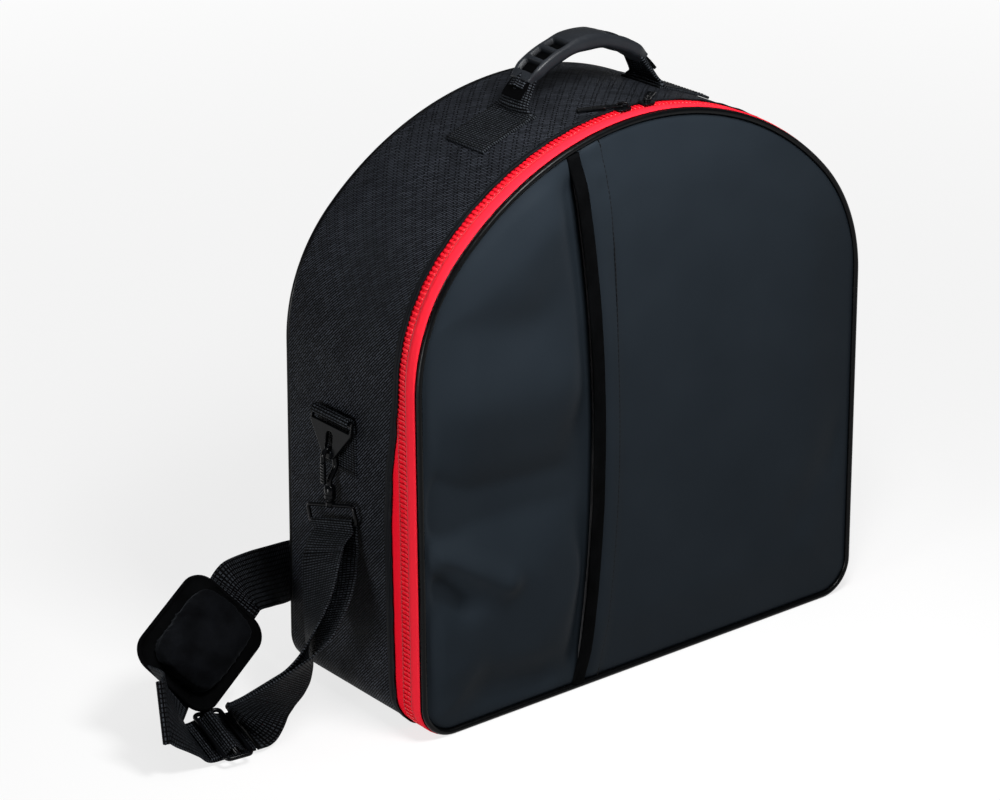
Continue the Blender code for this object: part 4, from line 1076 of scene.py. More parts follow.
def seatAt(place, x, y, z):
    # a matrix that turns a piece's own axes to three directions, and moves it to a place
    return Matrix.Translation(place) @ Matrix((x, y, z)).transposed().to_4x4()


def plateOf(name, loops, thickness, rounding, finish, seat):
    # a flat stamped piece with softened edges
    curve = bpy.data.curves.new(name, "CURVE")
    curve.dimensions = "2D"
    curve.fill_mode = "BOTH"
    curve.extrude = thickness / 2 - rounding
    curve.bevel_depth = rounding
    curve.bevel_resolution = 2
    curve.offset = -rounding
    for loop in loops:
        spline = curve.splines.new("POLY")
        spline.points.add(len(loop) - 1)
        for point, (x, y) in zip(spline.points, loop):
            point.co = (x, y, 0.0, 1.0)
        spline.use_cyclic_u = True
    holder = placed(name, curve)
    mesh = softened(asMade(holder))
    bpy.data.objects.remove(holder)
    mesh.transform(seat)
    mesh.materials.clear()
    mesh.materials.append(finish)
    mesh.set_sharp_from_angle(angle=math.radians(32))
    return placed(name, mesh)


def turned(name, low, high, outline, sides=24):
    # a turned piece: outline gives a radius at shares of the way from low to high
    axis = (high - low).normalized()
    guide = axis.orthogonal().normalized()
    line = [(low.lerp(high, share), guide, axis.cross(guide)) for share, _ in outline]
    radii = [radius for _, radius in outline]
    last = len(outline) - 1
    made = sweep(name, line, lambda share: circle(radii[round(share * last)], sides), lacquer, round=True)
    made.data.set_sharp_from_angle(angle=math.radians(40))
    return made


def rounder(value, power):
    # a power that keeps the sign: it turns a circle's sine and cosine into a fuller outline
    return math.copysign(abs(value) ** power, value)


# sliders and pulls
slider = {
    "spacing": 0.0240, "length": 0.0125, "width": 0.0112, "points": 28, "waist": 0.16,
    "plate": 0.0016, "plateEdge": 0.0005, "lift": 0.0014, "under": 0.0012, "underEdge": 0.0004, "underDrop": 0.0037,
    "post": 0.0054, "postEdge": 0.0001, "postDrop": 0.0012, "wire": 0.0008, "bridge": 0.0040, "bridgeFoot": 0.0027,
    "bridgeShape": ((-1, -0.2), (-1, 0.55), (-0.62, 1), (0.62, 1), (1, 0.55), (1, -0.2)),
    "pull": 0.0350, "pullWidth": 0.0070, "pullPlate": 0.0018, "pullEdge": 0.00045, "barShare": 0.66,
    "hole": 0.00075, "holeEdge": 0.0007, "holes": 4, "holePitch": 0.0034, "turn": math.radians(43.0),
}


def makeSlider(side):
    word = "right" if side > 0 else "left"
    angle = side * slider["spacing"] / 2 / topRadius
    radial = Vector((math.sin(angle), 0.0, math.cos(angle)))
    along = Vector((math.cos(angle), 0.0, -math.sin(angle)))
    centre = Vector((0.0, zipBand["y"], topZ))
    # a slider body is wide at its mouth, waisted and rounded at its tail
    half, wide = slider["length"] / 2, slider["width"] / 2
    loop = []
    for k in range(slider["points"]):
        t = 2 * math.pi * k / slider["points"]
        x = half * rounder(math.cos(t), 0.55)
        y = wide * rounder(math.sin(t), 0.6) * (1.0 - slider["waist"] * (1 + side * x / half) / 2)
        loop.append((x, y))
    post = [(x * 0.4, y * 0.12) for x, y in loop]
    layers = (
        ("sliderTop", loop, slider["plate"], slider["plateEdge"], slider["lift"] + slider["plate"] / 2),
        ("sliderUnder", loop, slider["under"], slider["underEdge"], -slider["underDrop"]),
        ("sliderPost", post, slider["post"], slider["postEdge"], -slider["postDrop"]),
    )
    parts = []
    for name, outline, thick, edge, height in layers:
        seat = seatAt(centre + radial * (topRadius + height), along, sideways, radial)
        parts.append(plateOf(name, [outline], thick, edge, lacquer, seat))
    sink = (slider["spacing"] / 2 + slider["pull"]) * math.sin(topAngle / 8) / slider["pull"]
    flat = Vector((side * math.cos(slider["turn"]), math.sin(slider["turn"]), -sink)).normalized()
    aside = flat.cross(radial).normalized()
    level = radial.cross(aside)
    roof = topRadius + slider["bridgeFoot"]
    arch = []
    for x, h in slider["bridgeShape"]:
        arch.append(centre + radial * (roof + h * slider["bridge"]) + level * (x * slider["length"] / 3))
    parts.append(wire("sliderBridge", smoothCurve(arch, 5), slider["wire"]))
    body = joined("sliderBody_" + word, parts)
    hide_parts("slider_" + word)
    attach(body, "slider_" + word + "_body")
    # the pull: a wire link through the bridge and a bar with four dimples
    seat = seatAt(centre + radial * (roof + slider["bridge"] / 2), flat, aside, flat.cross(aside))
    neck = slider["pull"] * (1 - slider["barShare"])
    barHalf = slider["pull"] * slider["barShare"] / 2
    middle = slider["pull"] - barHalf
    loops = [[]]
    for x, y in roundedLoop(barHalf, slider["pullWidth"] / 2, slider["pullWidth"] / 3, 4, middle):
        loops[0].append((x, y * (0.82 + 0.18 * smoothStep(-barHalf, barHalf, x - middle))))
    for k in range(slider["holes"]):
        x = middle - barHalf * 0.3 + k * slider["holePitch"]
        loops.append(roundedLoop(slider["hole"], slider["hole"], slider["holeEdge"], 3, x))
    bar = plateOf("pullBar", loops, slider["pullPlate"], slider["pullEdge"], lacquer, seat)
    reach, far = slider["wire"] * 2 + 0.0003, neck * 1.25
    shape = ((far, 1), (reach / 2, 1), (0.0, 0.5), (0.0, -0.5), (reach / 2, -1), (far, -1))
    link = [seat @ Vector((x, y * reach, 0.0)) for x, y in shape]
    pull = joined("pull_bar_" + word, [bar, wire("pullLink", smoothCurve(link, 4), slider["wire"])])
    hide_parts("pull_" + word)
    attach(pull, "pull_" + word + "_body")


# the carry handle
handle = {
    "y": -0.006, "rise": 0.047, "span": 0.132, "sagitta": 0.030, "thickness": 0.015, "width": 0.028, "shown": 0.85,
    "tabWidth": 0.048, "tabThickness": 0.0022, "tabInner": 0.065, "tabOuter": 0.112, "tabGap": 0.0009,
    "tabFold": 0.0008, "tabMargin": 0.003, "tabSteps": 22, "stitchPitch": 0.0034,
    "coreWidth": 0.021, "riser": 0.0024, "riserFold": 0.0060, "riserGather": 0.0009, "riserColumns": 16,
}
grip = {
    "stations": 210, "sides": 60, "taper": 0.20, "sunk": 0.0016, "rim": 0.0009, "rimReach": (0.0085, 0.0115),
    "pits": (0.095, 0.203, 0.311), "pitDepth": 0.0052, "pitReach": (0.046, 0.030), "pitWidth": (0.0098, 0.0080),
    "pitShift": 0.001, "fingers": 4, "fingerDepth": 0.0011,
}
gripRadius = ((handle["span"] / 2) ** 2 + handle["sagitta"] ** 2) / (2 * handle["sagitta"])
gripZ = bag["height"] + handle["rise"] - handle["thickness"] / 2 - gripRadius
gripHalf = math.asin(handle["span"] / 2 / gripRadius)


def gripPlace(angle):
    out = Vector((math.sin(angle), 0.0, math.cos(angle)))
    return Vector((0.0, handle["y"], gripZ)) + out * gripRadius, out


def makeGrip():
    # the moulding: slots across its back near both ends, finger hollows below
    count, sides = grip["stations"], grip["sides"]
    verts, faces, paintedPitShade = [], [], []
    for i in range(count + 1):
        share = i / count
        centre, out = gripPlace(handle["shown"] * gripHalf * (2 * share - 1))
        fromEnd = min(share, 1 - share)
        slim = 1 - grip["taper"] * (1 - smoothStep(0.0, 0.10, fromEnd))
        pit = max(smoothStep(*grip["pitReach"], abs(fromEnd - p)) for p in grip["pits"])
        for k in range(sides):
            t = 2 * math.pi * k / sides
            c, s = math.cos(t), math.sin(t)
            y = handle["width"] / 2 * rounder(c, 0.72) * slim
            r = handle["thickness"] / 2 * rounder(s, 0.62) * slim
            top = smoothStep(0.15, 0.8, s)
            edge = smoothStep(*grip["pitWidth"], abs(y + grip["pitShift"]))
            if s > 0:
                r -= grip["sunk"] * top * (1 - smoothStep(0.30, 0.42, fromEnd))
                r -= grip["pitDepth"] * pit * top * edge
                r += grip["rim"] * top * smoothStep(*grip["rimReach"], abs(y))
            else:
                r += grip["fingerDepth"] * abs(s) * (1 - math.cos(share * 2 * math.pi * grip["fingers"])) * 0.5
            # painted shade mask: high in the slots across the grip's back, nothing elsewhere
            paintedPitShade.append(pit * edge if s > 0.15 else 0.0)
            verts.append(centre + sideways * y + out * r)
    for i in range(count):
        for k in range(sides):
            n = (k + 1) % sides
            faces.append((i * sides + k, i * sides + n, (i + 1) * sides + n, (i + 1) * sides + k))
    faces.append(tuple(range(sides)))
    faces.append(tuple(count * sides + k for k in range(sides))[::-1])
    made = settleNormals(meshObject("gripMoulding", verts, faces, gripRubber))
    made.data.attributes.new("paintedPitShade", "FLOAT", "POINT").data.foreach_set("value", paintedPitShade)
    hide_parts("handle_grip")
    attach(made, "handle")


def makeHandleTab(side, word):
    # it lies on the bag's top, its outer end turned under
    angles = [math.asin(x / topRadius) * side for x in (handle["tabInner"] - 0.004, handle["tabOuter"])]
    base = topRadius + handle["tabGap"] + handle["tabThickness"] / 2
    centres, count = [], handle["tabSteps"]
    for k in range(count + 1):
        share = k / count
        a = angles[0] + (angles[1] - angles[0]) * share
        reach = base + handle["tabFold"] * smoothStep(0.72, 0.80, share)
        centres.append(Vector((math.sin(a) * reach, handle["y"], topZ + math.cos(a) * reach)))
    width, thickness = handle["tabWidth"], handle["tabThickness"]
    tab, line = stripAlong("handleTab_" + word, centres, sideways, width, thickness, columns=12)
    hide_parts("handle_tab_" + word)
    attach(tab, "bag")
    half = width / 2 - handle["tabMargin"]
    rise = thickness / 2 + 0.0003
    if line[0][2].z < 0:
        rise = -rise

    def spot(k, aside):
        return line[k][0] + sideways * aside + line[k][2] * rise

    def crossing(k):
        return straightRun(spot(k, half), spot(k, -half), 12, line[k][2])

    # a border that is open at the riser, and two rows across beside it
    first, last = 3, count - 1
    sewnPart = range(first, count)
    border = [(spot(k, half), line[k][2]) for k in sewnPart]
    border += crossing(last)[1:-1]
    border += [(spot(k, -half), line[k][2]) for k in reversed(sewnPart)]
    runs = [border, crossing(first), crossing(first + 2)]
    sewn = repeatAlong("handleTabStitches_" + word, runs, stitch, handle["stitchPitch"], threadBlack)
    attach(sewn, "bag")


def makeHandleRiser(side, word):
    # it leaves the tab flat and is gathered into the grip
    footZ = topZ + math.sqrt((topRadius + 0.001) ** 2 - handle["tabInner"] ** 2)
    foot = Vector((side * (handle["tabInner"] + 0.0005), handle["y"], footZ))
    tip, tipOut = gripPlace(side * (gripHalf - 0.05))
    run = Vector((-tipOut.z, 0.0, tipOut.x)) * side * -1.0
    path = smoothCurve([
        foot + Vector((side * 0.006, 0.0, -0.0006)),
        foot + Vector((side * 0.001, 0.0, 0.0030)),
        foot.lerp(tip, 0.45) + Vector((side * 0.0022, 0.0, 0.0)),
        tip - run * 0.010,
        tip,
    ], 7)
    rows = []
    travelled = 0.0
    for k, centre in enumerate(path):
        if k:
            travelled += (centre - path[k - 1]).length
        share = k / (len(path) - 1)
        width = handle["tabWidth"] + (handle["coreWidth"] - handle["tabWidth"]) * smoothStep(0.12, 0.85, share)
        ahead = (path[min(k + 1, len(path) - 1)] - path[max(k - 1, 0)]).normalized()
        out = ahead.cross(sideways) * side
        if out.x * side < 0:
            out = -out
        folded = handle["riserFold"] * smoothStep(0.1, 0.8, share)
        gathered = handle["riserGather"] * smoothStep(0.25, 0.9, share)
        row = []
        for n in range(handle["riserColumns"] + 1):
            v = 2 * n / handle["riserColumns"] - 1
            rise = folded * (1 - v * v) - folded * 0.55 + gathered * math.cos(v * 9.0)
            point = centre + sideways * (v * width / 2) + out * rise
            row.append((point, (travelled, v * handle["tabWidth"] / 2)))
        rows.append(row)
    riser = sheetOf("handleRiser_" + word, rows, webbing)
    thicken(riser, handle["riser"], 0.0)
    mesh = asMade(riser)
    riser.modifiers.clear()
    riser.data = mesh
    settleNormals(riser)
    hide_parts("handle_riser_" + word)
    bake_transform(riser)


def makeHandleWebbing(side):
    word = "right" if side > 0 else "left"
    makeHandleTab(side, word)
    makeHandleRiser(side, word)


# chapes, rings, hooks and loops
clip = {
    "width": 0.048, "webbing": 0.0016, "y": 0.0095, "footZ": 0.198, "barZ": 0.243, "barOut": 0.0065,
    "plate": 0.0030, "plateEdge": 0.0006, "corner": 0.0016, "bar": 0.0040, "halfWidth": 0.0262, "shoulder": 0.0090,
    "apexHalf": 0.0075, "length": 0.0340, "eyeHalf": 0.0045, "eyeTop": 0.0120, "apexBar": 0.0045, "slot": 0.0052,
    "tilt": math.radians(8.0), "hookWire": 0.0022, "hookBend": 0.0056, "hookLeg": 0.0150, "hookTip": 0.0040,
    "base": 0.0045, "baseLength": 0.0115, "neck": 0.0090,
    # outlines of the barrel and the loop's boss: shares of the length and of the radius
    "baseShape": [
        (0.0, 0.7), (0.0, 0.92), (0.08, 1.0), (0.30, 1.0), (0.32, 0.86), (0.42, 0.86), (0.44, 1.0), (0.80, 1.0),
        (0.90, 0.8), (1.0, 0.5), (1.0, 0.2),
    ],
    "bossShape": [
        (0.0, 0.5), (0.05, 0.85), (0.25, 1.0), (0.62, 1.0), (0.7, 0.7), (0.8, 0.62), (0.9, 0.8), (1.0, 0.8), (1.0, 0.3),
    ],
    "leverHalf": 0.0012, "leverWidth": 0.0050, "leverEdge": 0.0003, "ribs": 7, "rib": 0.00045,
    "boss": 0.0036, "bossLength": 0.0055, "loopWire": 0.0016, "loopInside": 0.0505, "loopDrop": 0.0150,
    "loopCorner": 0.0030, "loopTurn": math.radians(-7.0), "loopTilt": math.radians(14.0), "gap": 0.0003,
    "stitchPitch": 0.0033, "sewn": (0.003, 0.028), "sewnMargin": 0.0035,
}


def clipPlaces(side):
    bar = Vector((side * (halfWidth + clip["barOut"]), clip["y"], clip["barZ"]))
    hang = Vector((side * math.sin(clip["tilt"]), 0.0, -math.cos(clip["tilt"])))
    apex = bar + hang * (clip["length"] - clip["apexBar"] / 2)
    baseTop = apex - upward * (clip["hookLeg"] + clip["neck"])
    baseLow = baseTop - upward * clip["baseLength"]
    bossLow = baseLow - upward * (clip["gap"] + clip["bossLength"])
    flat = Vector((side * math.sin(clip["loopTurn"]), -math.cos(clip["loopTurn"]), 0.0))
    across = (flat * math.cos(clip["loopTilt"]) + upward * math.sin(clip["loopTilt"])).normalized()
    down = -upward - across * (-upward).dot(across)
    return bar, hang, apex, baseTop, baseLow, bossLow, across, down.normalized()


def makeChape(side):
    word = "right" if side > 0 else "left"
    bar = clipPlaces(side)[0]
    wall = halfWidth + 0.0010 + clip["webbing"] / 2
    wrap = math.hypot(clip["bar"] / 2, clip["plate"] / 2) + clip["gap"] + clip["webbing"] / 2
    points = [Vector((side * wall, clip["y"], clip["footZ"] + 0.036 * k / 6)) for k in range(7)]
    for k in range(15):
        a = math.radians(192.0 - 212.0 * k / 14)
        points.append(Vector((bar.x + side * wrap * math.cos(a), clip["y"], bar.z + wrap * math.sin(a))))
    strip, _ = stripAlong("chape_" + word, points, sideways, clip["width"] - 0.001, clip["webbing"], columns=12)
    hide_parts("side_chape_" + word)
    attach(strip, "bag")
    # stitches: a box with a cross in it
    out = Vector((side, 0.0, 0.0))
    face = side * (wall + clip["webbing"] / 2 + 0.0002)
    lowZ, highZ = (clip["footZ"] + z for z in clip["sewn"])
    half = clip["width"] / 2 - clip["sewnMargin"]
    upLeft, upRight, lowRight, lowLeft = (
        Vector((face, clip["y"] + y, z)) for y, z in ((-half, highZ), (half, highZ), (half, lowZ), (-half, lowZ))
    )
    box = []
    for start, end in ((upLeft, upRight), (upRight, lowRight), (lowRight, lowLeft), (lowLeft, upLeft)):
        box += straightRun(start, end, 10, out)[:-1]
    runs = [box, straightRun(lowLeft, upRight, 12, out), straightRun(lowRight, upLeft, 12, out)]
    sewn = repeatAlong("chapeStitches_" + word, runs, stitch, clip["stitchPitch"], threadBlack)
    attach(sewn, "bag")


def makeRing(word, bar, hang):
    half, apexHalf, reach = clip["halfWidth"], clip["apexHalf"], clip["length"]
    top, shoulder, flank = -clip["bar"] / 2, clip["shoulder"], reach - clip["apexBar"] / 2
    corners = [
        (-half, top), (half, top), (half, shoulder), (apexHalf, flank), (apexHalf / 2, reach),
        (-apexHalf / 2, reach), (-apexHalf, flank), (-half, shoulder),
    ]
    slotY = clip["bar"] / 2 + clip["slot"] / 2
    slot = roundedLoop(clip["width"] / 2 + 0.0006, clip["slot"] / 2, 0.0008, 3, 0.0, slotY)
    eyeEnd = reach - clip["apexBar"]
    eyeHalf = (eyeEnd - clip["eyeTop"]) / 2
    eye = roundedLoop(clip["eyeHalf"], eyeHalf, clip["eyeHalf"] * 0.92, 6, 0.0, eyeEnd - eyeHalf)
    loops = [roundCorners(corners, clip["corner"]), slot, eye]
    seat = seatAt(bar, sideways, hang, sideways.cross(hang))
    ring = plateOf("ringPlate_" + word, loops, clip["plate"], clip["plateEdge"], lacquer, seat)
    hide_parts("ring_" + word)
    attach(ring, "clip_" + word)


def makeClip(side):
    word = "right" if side > 0 else "left"
    bar, hang, apex, baseTop, baseLow, bossLow, across, down = clipPlaces(side)
    makeRing(word, bar, hang)
    outward = Vector((side, 0.0, 0.0))
    # hook: bow, leg and barrel
    bend, leg = clip["hookBend"], clip["hookLeg"]
    points = [baseTop - upward * 0.001, baseTop + upward * 0.004]
    points += [apex - outward * bend - upward * leg * share for share in (0.72, 0.3)]
    for k in range(8):
        a = math.pi * k / 7
        points.append(apex - outward * bend * math.cos(a) + upward * bend * math.sin(a))
    points.append(apex + outward * bend - upward * clip["hookTip"])
    path = smoothCurve(points, 3)
    bow = wire("hookBow", path, clip["hookWire"], sides=12, taper=lambda share: 1.12 - 0.2 * share)
    outline = [(share, clip["base"] * wide) for share, wide in clip["baseShape"]]
    hook = joined("snapHook_" + word, [bow, turned("hookBarrel", baseLow, baseTop, outline)])
    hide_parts("snap_hook_" + word)
    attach(hook, "clip_" + word)
    # lever: a flat finger with ribs across its outer face
    foot = baseTop + outward * bend + upward * 0.0025
    head = apex + outward * bend - upward * (clip["hookTip"] + clip["gap"] + clip["hookWire"])
    length = (head - foot).length + clip["hookWire"]
    half, steps = clip["leverHalf"], clip["ribs"] * 4
    loop = []
    for k in range(steps + 1):
        z = length * k / steps
        rib = clip["rib"] * (1 - math.cos(2 * math.pi * clip["ribs"] * z / length)) / 2
        loop.append((half + rib, z - length / 2))
    loop += [(-half, length / 2), (-half, -length / 2)]
    seat = seatAt(foot + upward * length / 2, outward, upward, outward.cross(upward))
    lever = plateOf("hookLever_" + word, [loop], clip["leverWidth"], clip["leverEdge"], lacquer, seat)
    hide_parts("gate_" + word)
    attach(lever, "gate_" + word + "_body")
    # swivelling loop that carries the strap
    half, drop = clip["loopInside"] / 2 + clip["loopWire"], clip["loopDrop"] / 2
    outline = roundedLoop(half, drop, clip["loopCorner"], 5, 0.0, drop)
    corners = [bossLow + across * x + down * y for x, y in outline]
    loopFrame = wire("loopWire", corners, clip["loopWire"], closed=True, sides=12)
    outline = [(share, clip["boss"] * wide) for share, wide in clip["bossShape"]]
    low, high = bossLow - upward * clip["loopWire"], bossLow + upward * clip["bossLength"]
    loop = joined("strapLoop_" + word, [loopFrame, turned("loopBoss", low, high, outline)])
    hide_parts("strap_loop_" + word)
    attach(loop, "swivel_" + word)


def roundCorners(corners, radius, steps=3):
    made = []
    for k, corner in enumerate(corners):
        here = Vector(corner)
        before = Vector(corners[k - 1]) - here
        after = Vector(corners[(k + 1) % len(corners)]) - here
        cut = min(radius, before.length * 0.4, after.length * 0.4)
        a, b = here + before.normalized() * cut, here + after.normalized() * cut
        for n in range(steps + 1):
            t = n / steps
            made.append(tuple(a.lerp(here, t).lerp(here.lerp(b, t), t)))
    return made


# shoulder strap: a route's row is a place in shares of the spread, out, along y and up, and the direction across
strap = {
    "spread": 0.150, "width": 0.048, "webbing": 0.0016, "gap": 0.0022, "floorGap": 0.00095, "steps": 6,
    "columns": 10, "loopGap": 0.0009, "wrapReach": 0.0190, "wrapShift": 0.0040,
    "wedge": [(0.0, 0.0), (0.06, 0.14), (0.14, 0.17), (0.34, 0.13), (0.56, 0.0), (1.0, 0.0)],
}
strapDirection = Vector((-0.990, 0.123, 0.0)).normalized()
strapAcross = Vector((0.120, 0.966, 0.220)).normalized()
strapRise = strapAcross.cross(strapDirection).normalized()
dropRoute = [
    (0.145, -0.004, 0.899, 0.25, -0.93, 0.28),
    (0.196, -0.054, 0.805, 0.21, -0.91, 0.36),
    (0.247, -0.103, 0.714, 0.09, -0.90, 0.43),
    (0.304, -0.146, 0.628, -0.08, -0.87, 0.48),
    (0.363, -0.183, 0.545, -0.29, -0.80, 0.52),
    (0.423, -0.206, 0.467, -0.53, -0.65, 0.55),
    (0.487, -0.203, 0.395, -0.71, -0.45, 0.54),
    (0.547, -0.171, 0.327, -0.82, -0.23, 0.52),
    (0.597, -0.120, 0.259, -0.89, -0.02, 0.46),
    (0.627, -0.064, 0.192, -0.88, 0.26, 0.39),
    (0.645, -0.021, 0.129, -0.68, 0.63, 0.36),
    (0.672, -0.002, 0.079, -0.21, 0.93, 0.30),
]
bendRoute = [
    (1.007, 0.026, 0.132, 0.23, 0.92, 0.32),
    (1.082, 0.012, 0.225, 0.25, 0.80, 0.54),
]
strapFold = {
    "place": (1.173, -0.020, 0.333), "axis": (0.20, 0.45, 0.87), "heading": (-0.65, -0.55, 0.50),
    "radius": 0.0018, "leads": (0.0060, 0.0024),
}
returnRoute = [(1.128, 0.052, 0.300, 0.12, 0.34, 0.93), (1.052, 0.118, 0.306, -0.09, 0.24, 0.96)]
tailRoute = [(0.167, 0.587, 0.560, -0.33, 0.42, 0.85), (-0.020, 0.665, 0.513, -0.20, 0.30, 0.93)]
backRoute = [
    (-0.80, 1.200, 0.310, 0.00, 0.10, 0.99),
    (-0.30, 1.240, 0.350, 0.00, 0.08, 1.00),
    (0.30, 1.240, 0.410, 0.00, 0.08, 1.00),
    (0.80, 1.240, 0.470, 0.00, 0.15, 0.98),
    (1.06, 1.120, 0.510, 0.25, 0.25, 0.92),
    (1.17, 0.720, 0.430, 0.42, 0.50, 0.70),
    (1.13, 0.300, 0.345, 0.30, 0.85, 0.40),
    (1.09, 0.080, 0.400, 0.10, 0.98, 0.05),
]
pad = {
    "share": (0.716, 0.376, 0.422),
    "along": Vector((-0.87, -0.32, -0.39)).normalized(),
    "across": Vector((-0.502, 0.503, 0.705)).normalized(),
    "length": 0.094, "width": 0.077, "corner": 0.017, "base": 0.0034, "crown": 0.0100, "rim": 0.0080,
    "sleeveWidth": 0.060, "sleeve": 0.0060, "sleeveEdge": 0.0003, "gap": 0.0003, "cord": 0.0019,
    "within": (0.45, 0.2, -0.1, -0.4, -0.56, -0.70),
}
adjuster = {
    "share": (0.833, -0.007, 0.055), "wire": 0.0018, "length": 0.058, "span": 0.0215, "lift": 0.0068,
    "corner": 0.0036, "gap": 0.0003,
}


def strapPlace(out, y, z):
    return Vector((-halfWidth - out * strap["spread"], y * strap["spread"], z * strap["spread"]))


def routeRows(route):
    return [[*strapPlace(*row[:3]), *row[3:]] for row in route]


def adjusterPlace(along, aside, height):
    return strapPlace(*adjuster["share"]) + strapDirection * along + strapAcross * aside + strapRise * height

def strapFrames(rows, skewed=0, plain=0):
    # the direction across is squared to the run, but not in the first plain stations, and less in the last skewed ones
    made = []
    for k, row in enumerate(rows):
        run = (Vector(rows[min(k + 1, len(rows) - 1)][:3]) - Vector(rows[max(k - 1, 0)][:3])).normalized()
        given = Vector(row[3:]).normalized()
        square = given if k < plain else (given - run * given.dot(run)).normalized()
        left = len(rows) - 1 - k
        share = 1 - left / skewed if left < skewed else 0.0
        across = square.lerp(given, share).normalized()
        made.append((Vector(row[:3]), across, run.cross(across).normalized()))
    return made


def fold(centre, across, down, away, radius):
    rows = []
    for k in range(11):
        a = math.pi * k / 10
        out = away * math.cos(a) - down * math.sin(a)
        rows.append((centre + out * radius, across, out))
    return rows


def evenNormals(line):
    # the side that counts as up is carried along without a jump
    made = [line[0]]
    for centre, across, up in line[1:]:
        _, lastAcross, lastUp = made[-1]
        if across.dot(lastAcross) < 0:
            across = -across
        if up.dot(lastUp) < 0:
            up = -up
        made.append((centre, across, up))
    return made


def loopBar(side):
    # the loop's lower bar, and the radius at which the strap turns round it
    *_, bossLow, across, down = clipPlaces(side)
    radius = clip["loopWire"] + strap["loopGap"] + strap["webbing"] / 2
    return bossLow + down * clip["loopDrop"], across, down, radius


def strapSweep(name, line):
    return sweep(name, line, tapeSection(strap["width"], strap["webbing"], strap["columns"]), webbing)


def makeStrapDrop():
    centre, across, down, radius = loopBar(-1)
    steps = strap["steps"]
    end = adjusterPlace(-strap["wrapReach"] - strap["webbing"], strap["wrapShift"], strap["floorGap"])
    rows = [[*(centre + down * 0.006), *across], *routeRows(dropRoute), [*end, *strapAcross]]
    line = strapFrames(smoothRows(rows, steps), 2 * steps)
    line[-1] = (line[-1][0], line[-1][1], -strapRise)
    away = line[0][2]
    upper, lower = [], []
    count = len(line)
    for k, (place, side, normal) in enumerate(line):
        share = k / (count - 1)
        gap = strap["gap"] + (strap["floorGap"] - strap["gap"]) * share**0.7
        wedge = byTable(strap["wedge"], share)      # the two layers part at their front edges
        shift = normal * (gap + wedge * strap["width"] / 2)
        upper.insert(0, (place - shift, (side - normal * wedge).normalized(), -(normal + side * wedge).normalized()))
        lower.append((place + shift, (side + normal * wedge).normalized(), (normal - side * wedge).normalized()))
    whole = evenNormals(upper + fold(centre, across, down, -away, radius) + lower)
    low, high, size = 9 * steps, steps, len(whole)

    def stretch(name, outer, inner):
        # both layers, from station outer down to station inner of the line
        ends = ((count - 1 - inner, count - outer), (size - count + outer, size - count + inner + 1))
        return joined(name, [strapSweep(name + str(n), whole[a:b]) for n, (a, b) in enumerate(ends)])

    middle = stretch("strapDropWebbing", high, low)
    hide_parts("strap_drop")
    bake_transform(middle)
    foot = stretch("strapDropFoot", low, count - 1)
    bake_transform(foot)
    top = strapSweep("strapDropTop", whole[count - 1 - high:size - count + high + 1])
    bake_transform(top)


def makeStrapRun():
    reach, steps = strap["wrapReach"], strap["steps"]
    rows = [[*adjusterPlace(along, strap["wrapShift"], 0.0), *strapAcross] for along in (-reach, 0.0, reach)]
    rows += routeRows(bendRoute)
    # the webbing doubles back on itself in a tight fold behind the pad
    axis, heading = Vector(strapFold["axis"]).normalized(), Vector(strapFold["heading"])
    heading = (heading - axis * heading.dot(axis)).normalized()
    side = axis.cross(heading)
    entry = strapPlace(*strapFold["place"])
    leave = entry - side * 2 * strapFold["radius"]
    turn = fold((entry + leave) / 2, axis, -heading, side, strapFold["radius"])[::2]
    rows += [[*(entry - heading * lead), *axis] for lead in strapFold["leads"]]
    rows += [[*place, *axis] for place, *_ in turn]
    rows += [[*(leave - heading * lead), *axis] for lead in reversed(strapFold["leads"])]
    rows += routeRows(returnRoute)
    plain = len(rows) * steps
    middle = strapPlace(*pad["share"])
    rows += [[*(middle + pad["along"] * pad["length"] * share), *pad["across"]] for share in pad["within"]]
    rows += routeRows(tailRoute)
    rows += [[x * halfWidth, y * bag["back"], z * clip["barZ"], *across] for x, y, z, *across in backRoute]
    parting = (len(rows) - 2) * steps
    bar, across, down, radius = loopBar(1)
    rows += [[*(bar + down * far * clip["loopWire"]), *(-across)] for far in (21, 12, 5)]
    line = strapFrames(smoothRows(rows, steps), plain=plain)
    line[0] = (line[0][0], strapAcross, -strapRise)
    around = fold(bar, -across, down, across.cross(down), radius)
    line = evenNormals(line + around)
    made = strapSweep("strapRunWebbing", line[:parting + 1])
    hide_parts("strap_run")
    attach(made, "bag")
    tip = len(line) - len(around) - steps
    made = strapSweep("strapEndWebbing", line[parting:tip + 1])
    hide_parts("strap_end_right")
    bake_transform(made)
    made = strapSweep("strapEndTop", line[tip:])
    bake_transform(made)


